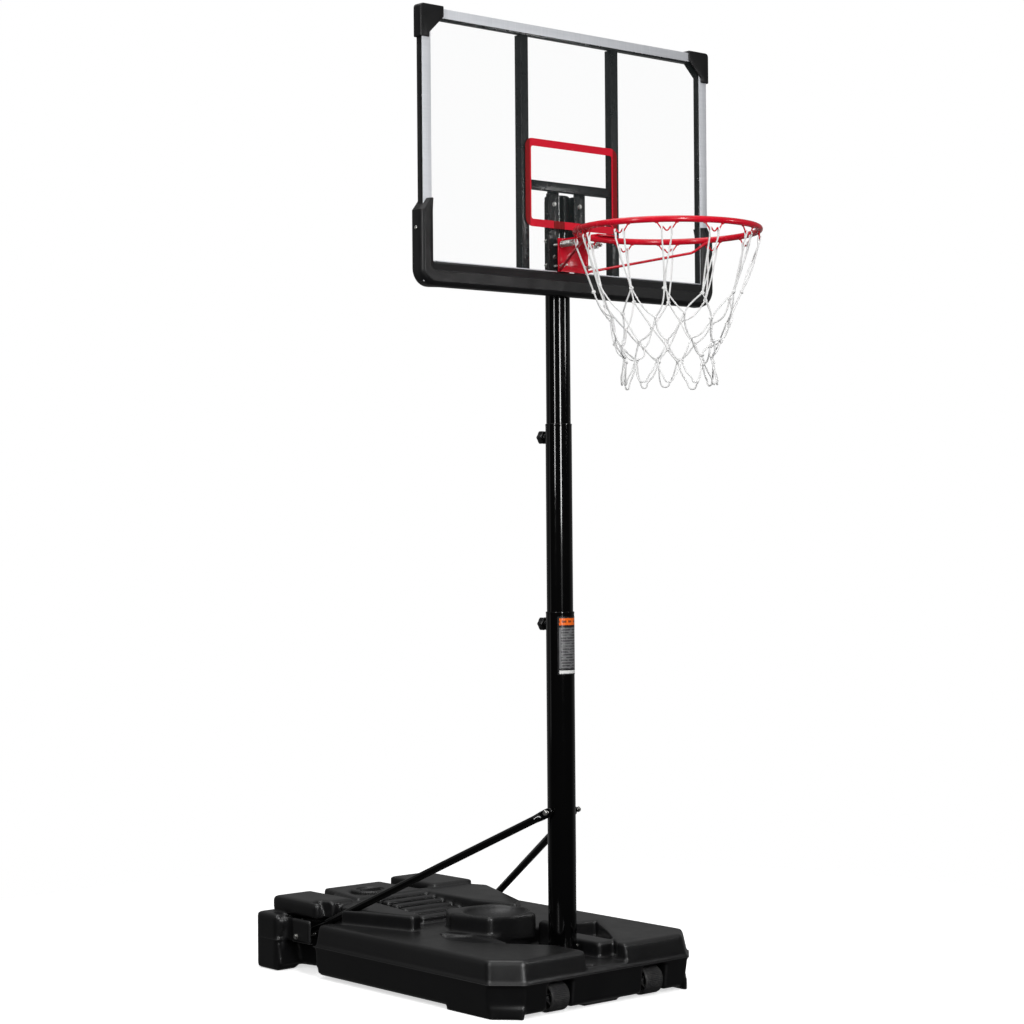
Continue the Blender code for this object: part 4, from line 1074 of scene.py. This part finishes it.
def pad_section(front, back):
    """Outline of the pad: shares of the way from its inner to its outer edge, with their y."""
    return [
        (0.035, -0.0635), (0.000, -0.0635), (0.000, -0.0652), (0.030, -0.0672),
        (0.085, -0.0712), (0.330, -0.0740), (0.352, -0.0742), (0.385, front),
        (0.800, front), (0.835, front + 0.0010), (0.855, front + 0.0030),
        (0.900, front + 0.0045), (0.965, front + 0.0095), (0.996, front + 0.0170), (1.000, front + 0.0230),
        (1.000, back - 0.008), (0.985, back - 0.002), (0.940, back), (0.300, back), (0.300, -0.0595),
    ]


def bottom_pad():
    """The moulded lower bumper: one stepped section swept up each side, less deep where the straps pass."""
    low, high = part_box("bottom_pad")
    bm = bmesh.new()
    loops = []
    for inner, outer in pad_path(low, high):
        back = PAD_MIDDLE_BACK if abs(inner.x) < PAD_INNER_X - 0.02 else high.y
        loop = []
        for share, y in pad_section(low.y, back):
            place = inner.lerp(outer, share)
            loop.append(bm.verts.new((place.x, y, place.y)))
        loops.append(loop)
    stitch(bm, loops)
    detailed("bottom_pad", to_mesh("bottom_pad", bm), "pad_plastic", "head", 24)


def make_board():
    rails = [f"frame_rail_{place}" for place in ("top", "bottom", "left", "right")]
    for node in (*rails, "frame_crossbar", "vertical_rail_left", "vertical_rail_right"):
        refined(node, "frame_enamel", "head", 0.0007, 2)
    for side_name, _ in SIDES:
        refined(f"mount_strap_{side_name}", "frame_enamel", "head", 0.0005, 2)
        refined(f"mount_ear_{side_name}", "frame_enamel", "head", 0.0005, 2)
        refined(f"corner_cap_{side_name}", "pad_plastic", "head", 0.0045, 4, angle=50)
    for node in ("trim_top", "trim_left", "trim_right", "trim_bottom"):
        refined(node, "trim_aluminium", "head", 0.0003, 2)
    refined("target_square", "print_red", "head", 0.00012, 1)
    bottom_pad()


# ---------------------------------------------------------------- rim and net

RING_Y = -0.418
RING_Z = 1.997
RING_R = 0.233
ROD_R = 0.008
HOOKS = 12
HOOK_R = 0.0018
HOOK_TOP_Z = RING_Z - ROD_R + 0.0014
BRACE_INSET = 0.0087
PLATE_FRONT_Y = -0.0648


def on_ring(angle, radius, z):
    return Vector((radius * cos(angle), RING_Y + radius * sin(angle), z))


def ring_rod():
    """The hoop: a bent rod with the slight flat of its closing weld at the back."""
    count = 240
    points = [on_ring(2 * pi * i / count, RING_R, RING_Z) for i in range(count)]
    rod = wire(points, ROD_R, 8, cyclic=True)
    weld = wire([on_ring(pi / 2 + a, RING_R, RING_Z) for a in (-0.010, 0.0, 0.010)], ROD_R + 0.0006, 6)
    return [rod, weld]


def hook(turn):
    """One bent wire loop that the net hangs from, with a weld at each end."""
    half = [
        (0.0, 0.0212), (0.0022, 0.0206), (0.0045, 0.0185), (0.0067, 0.0152), (0.0085, 0.0127),
        (0.0098, 0.0138), (0.0112, 0.0166), (0.0130, 0.0166), (0.0150, 0.0140), (0.0200, 0.0070),
        (0.0252, 0.0),
    ]
    shape = [(-a, d) for a, d in reversed(half[1:])] + half
    radius = RING_R - 0.001
    points = [on_ring(turn + a / RING_R, radius, HOOK_TOP_Z - d) for a, d in shape]
    meshes = [wire(points, HOOK_R, 3, sub=4)]
    for end in (-1, 1):
        weld = bmesh.new()
        bmesh.ops.create_uvsphere(weld, u_segments=14, v_segments=8, radius=1.0)
        for vertex in weld.verts:
            bulge = 1 + 0.12 * noise.noise(vertex.co * 2.3 + Vector((turn * 7, end, 0)))
            vertex.co = Vector((vertex.co.x * 0.0052, vertex.co.y * 0.0030, vertex.co.z * 0.0021)) * bulge
        angle = turn + end * 0.0248 / RING_R
        place = on_ring(angle, radius, RING_Z - ROD_R - 0.0002)
        weld.transform(Matrix.Translation(place) @ Matrix.Rotation(angle + pi / 2, 4, "Z"))
        meshes.append(to_mesh("weld", weld))
    return meshes


def rim_brace(side_name, side):
    """The bent rod from the face plate up to the ring, with its welds."""
    low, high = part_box("rim_bracket")
    radius = RING_R - BRACE_INSET
    start = Vector((high.x - 0.0025, PLATE_FRONT_Y - 0.0025, low.z + 0.0045))
    out = start - Vector((0, RING_Y, RING_Z))
    touch = atan2(out.y, out.x) - acos(radius / out.xy.length)
    end = radians(17)
    z0, z1 = RING_Z - 0.033, RING_Z - BRACE_INSET
    points = [start]
    steps = 14
    for i in range(steps + 1):
        share = i / steps
        angle = touch + (end - touch) * share
        points.append(on_ring(angle, radius, z0 + (z1 - z0) * share * share * (3 - 2 * share)))
    points = [(x * side, y, z) for x, y, z in points]
    beads = []
    for place, size in ((points[0], 0.0044), (points[-1], 0.0046), (points[-2], 0.0043)):
        bead = bmesh.new()
        bmesh.ops.create_uvsphere(bead, u_segments=14, v_segments=8, radius=size)
        for vertex in bead.verts:
            vertex.co *= 1 + 0.14 * noise.noise(vertex.co * 400)
        bead.transform(Matrix.Translation(place))
        beads.append(to_mesh("bead", bead))
    mesh = joined("rim_brace", [wire(points, 0.0035, 5)] + beads)
    detailed(f"rim_brace_{side_name}", mesh, "rim_enamel", "rim", 50)


def spring(side_name):
    """A closed-end coil spring. It rides on its bolt."""
    node = f"rim_spring_{side_name}"
    low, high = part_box(node)
    centre = (low + high) / 2
    wire_r = 0.0014
    coil_r = (high.x - low.x) / 2 - wire_r
    turns, per_turn = 7, 24
    length = high.y - low.y - 2 * wire_r
    points = []
    for i in range(turns * per_turn + 1):
        share = i / (turns * per_turn)
        eased = share + 0.045 * sin(2 * pi * share)
        angle = 2 * pi * i / per_turn
        y = high.y - wire_r - length * (1 - eased)
        points.append((centre.x + coil_r * cos(angle), y, centre.z + coil_r * sin(angle)))
    obj = detailed(node, wire(points, wire_r, 3), "zinc_steel", "head", 60)
    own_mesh(obj)


NET_LEVELS = (  # radius and height of each row of knots, from the first under the hooks to the bottom loops
    (0.186, 1.833), (0.154, 1.768), (0.131, 1.714), (0.1165, 1.668), (0.124, 1.606),
)
CORD_R = 0.0021
KNOT_R = 0.0040


def net_rows(rng):
    """Knots row by row. Odd rows lie between the hooks, and each is pulled a little off its place."""
    rows = []
    for level, (radius, z) in enumerate(NET_LEVELS):
        row = []
        for number in range(HOOKS):
            turn = 2 * pi * (number + 0.5 + 0.5 * (level % 2)) / HOOKS
            turn += rng.uniform(-1, 1) * (0.045 + 0.012 * level)
            drop = rng.uniform(-1, 1) * (0.020, 0.013, 0.011, 0.009, 0.004)[level]
            reach = radius + rng.uniform(-1, 1) * 0.006
            row.append(on_ring(turn, reach, z + drop))
        rows.append(row)
    return rows


def strand(a, b, rng, slack=0.007):
    """A cord between two knots that bows a little out and down."""
    a, b = Vector(a), Vector(b)
    side = Vector((rng.uniform(-1, 1), rng.uniform(-1, 1), rng.uniform(-1, 0.1))) * slack
    points = [a]
    for i in range(1, 6):
        t = i / 6
        points.append(a.lerp(b, t) + side * sin(pi * t) + Vector((0, 0, -slack * 0.5 * sin(pi * t))))
    points.append(b)
    return wire(points, CORD_R, 3, sub=2)


def knot(place, rng):
    """An overhand knot: two small interlocked turns of the cord."""
    meshes = []
    for number in range(2):
        spin = rng.uniform(0, pi)
        lean = radians(60 + 40 * number) + rng.uniform(-0.3, 0.3)
        tilt = Matrix.Rotation(spin, 3, "Z") @ Matrix.Rotation(lean, 3, "X")
        points = []
        for i in range(14):
            angle = 2 * pi * i / 14
            local = Vector((KNOT_R * cos(angle), KNOT_R * 0.8 * sin(angle), 0.0008 * sin(2 * angle)))
            points.append(Vector(place) + tilt @ local)
        meshes.append(wire(points, CORD_R * 0.92, 3, cyclic=True))
    return meshes


def hook_cord(turn, end, first, rng):
    """The cord over one notch of a hook, its two legs, and the strand from them to the first knot."""
    angle = turn + end * 0.0121 / RING_R
    radius = RING_R - 0.001
    notch_z = HOOK_TOP_Z - 0.0150
    arch = ((0.0035, -0.004), (0.0022, 0.002), (-0.0022, 0.002), (-0.0035, -0.004))
    over = [on_ring(angle, radius + out, notch_z + up) for out, up in arch]
    meshes = [wire(over, CORD_R, 3, sub=4)]
    meet = on_ring(angle, RING_R - 0.0035, notch_z - 0.022)
    for shift in (0.0030, -0.0030):
        start = on_ring(angle, radius + shift, notch_z - 0.0035)
        meshes.append(wire([start, start.lerp(meet, 0.5), meet], CORD_R * 0.9, 3, sub=3))
    meshes.append(strand(on_ring(angle, RING_R - 0.0035, notch_z - 0.020), first, rng, 0.004))
    return meshes


def bottom_loop(a, b, bottom, rng):
    """A slack loop between two knots of the last row, round at its bottom."""
    along = (b - a).normalized()
    corner = along * (0.013 + rng.uniform(-0.002, 0.003))
    lift = Vector((0, 0, 0.014))
    points = [
        a, a.lerp(bottom, 0.5) - along * 0.007, bottom - corner + lift, bottom - corner * 0.5,
        bottom + corner * 0.5, bottom + corner + lift, b.lerp(bottom, 0.5) + along * 0.007, b,
    ]
    return wire(points, CORD_R, 3, sub=4)


def make_net():
    """The knotted cord net: two cords on each hook, four rows of knots, and a row of slack loops below."""
    rng = random.Random(11)
    rows = net_rows(rng)
    meshes = []
    for number in range(HOOKS):
        turn = 2 * pi * (number + 0.5) / HOOKS
        for end in (-1, 1):
            meshes += hook_cord(turn, end, rows[0][number], rng)
    for level in range(len(rows) - 2):
        step = 0 if level % 2 else -1
        for number in range(HOOKS):
            for offset in (step, step + 1):
                lower = rows[level + 1][(number + offset) % HOOKS]
                meshes.append(strand(rows[level][number], lower, rng, 0.009))
    last = rows[-2]
    for number in range(HOOKS):
        after = (number + 1) % HOOKS
        meshes.append(bottom_loop(last[number], last[after], rows[-1][after], rng))
    for row in rows[:-1]:
        for place in row:
            meshes += knot(place, rng)
    piece("net_cords", joined("net", meshes), "net_cord", "rim", "net", angle=60)


def make_rim():
    meshes = ring_rod()
    for number in range(HOOKS):
        meshes += hook(2 * pi * (number + 0.5) / HOOKS)
    detailed("rim_ring", joined("rim_ring", meshes), "rim_enamel", "rim", 50)
    refined("rim_bracket", "rim_enamel", "rim", 0.0006, 2)
    for side_name, side in SIDES:
        rim_brace(side_name, side)
        spring(side_name)
    make_net()


def dress_frame():
    """Gives every CAD node its finish, so that those still showing have it too."""
    for obj in NODES.values():
        for slot in obj.material_slots:
            slot.material = FINISHES[slot.material.name.split(".")[0]]


make_camera()
make_world()
make_lights()
make_floor()
make_bolts()
make_base()
make_pole()
make_board()
make_rim()
dress_frame()
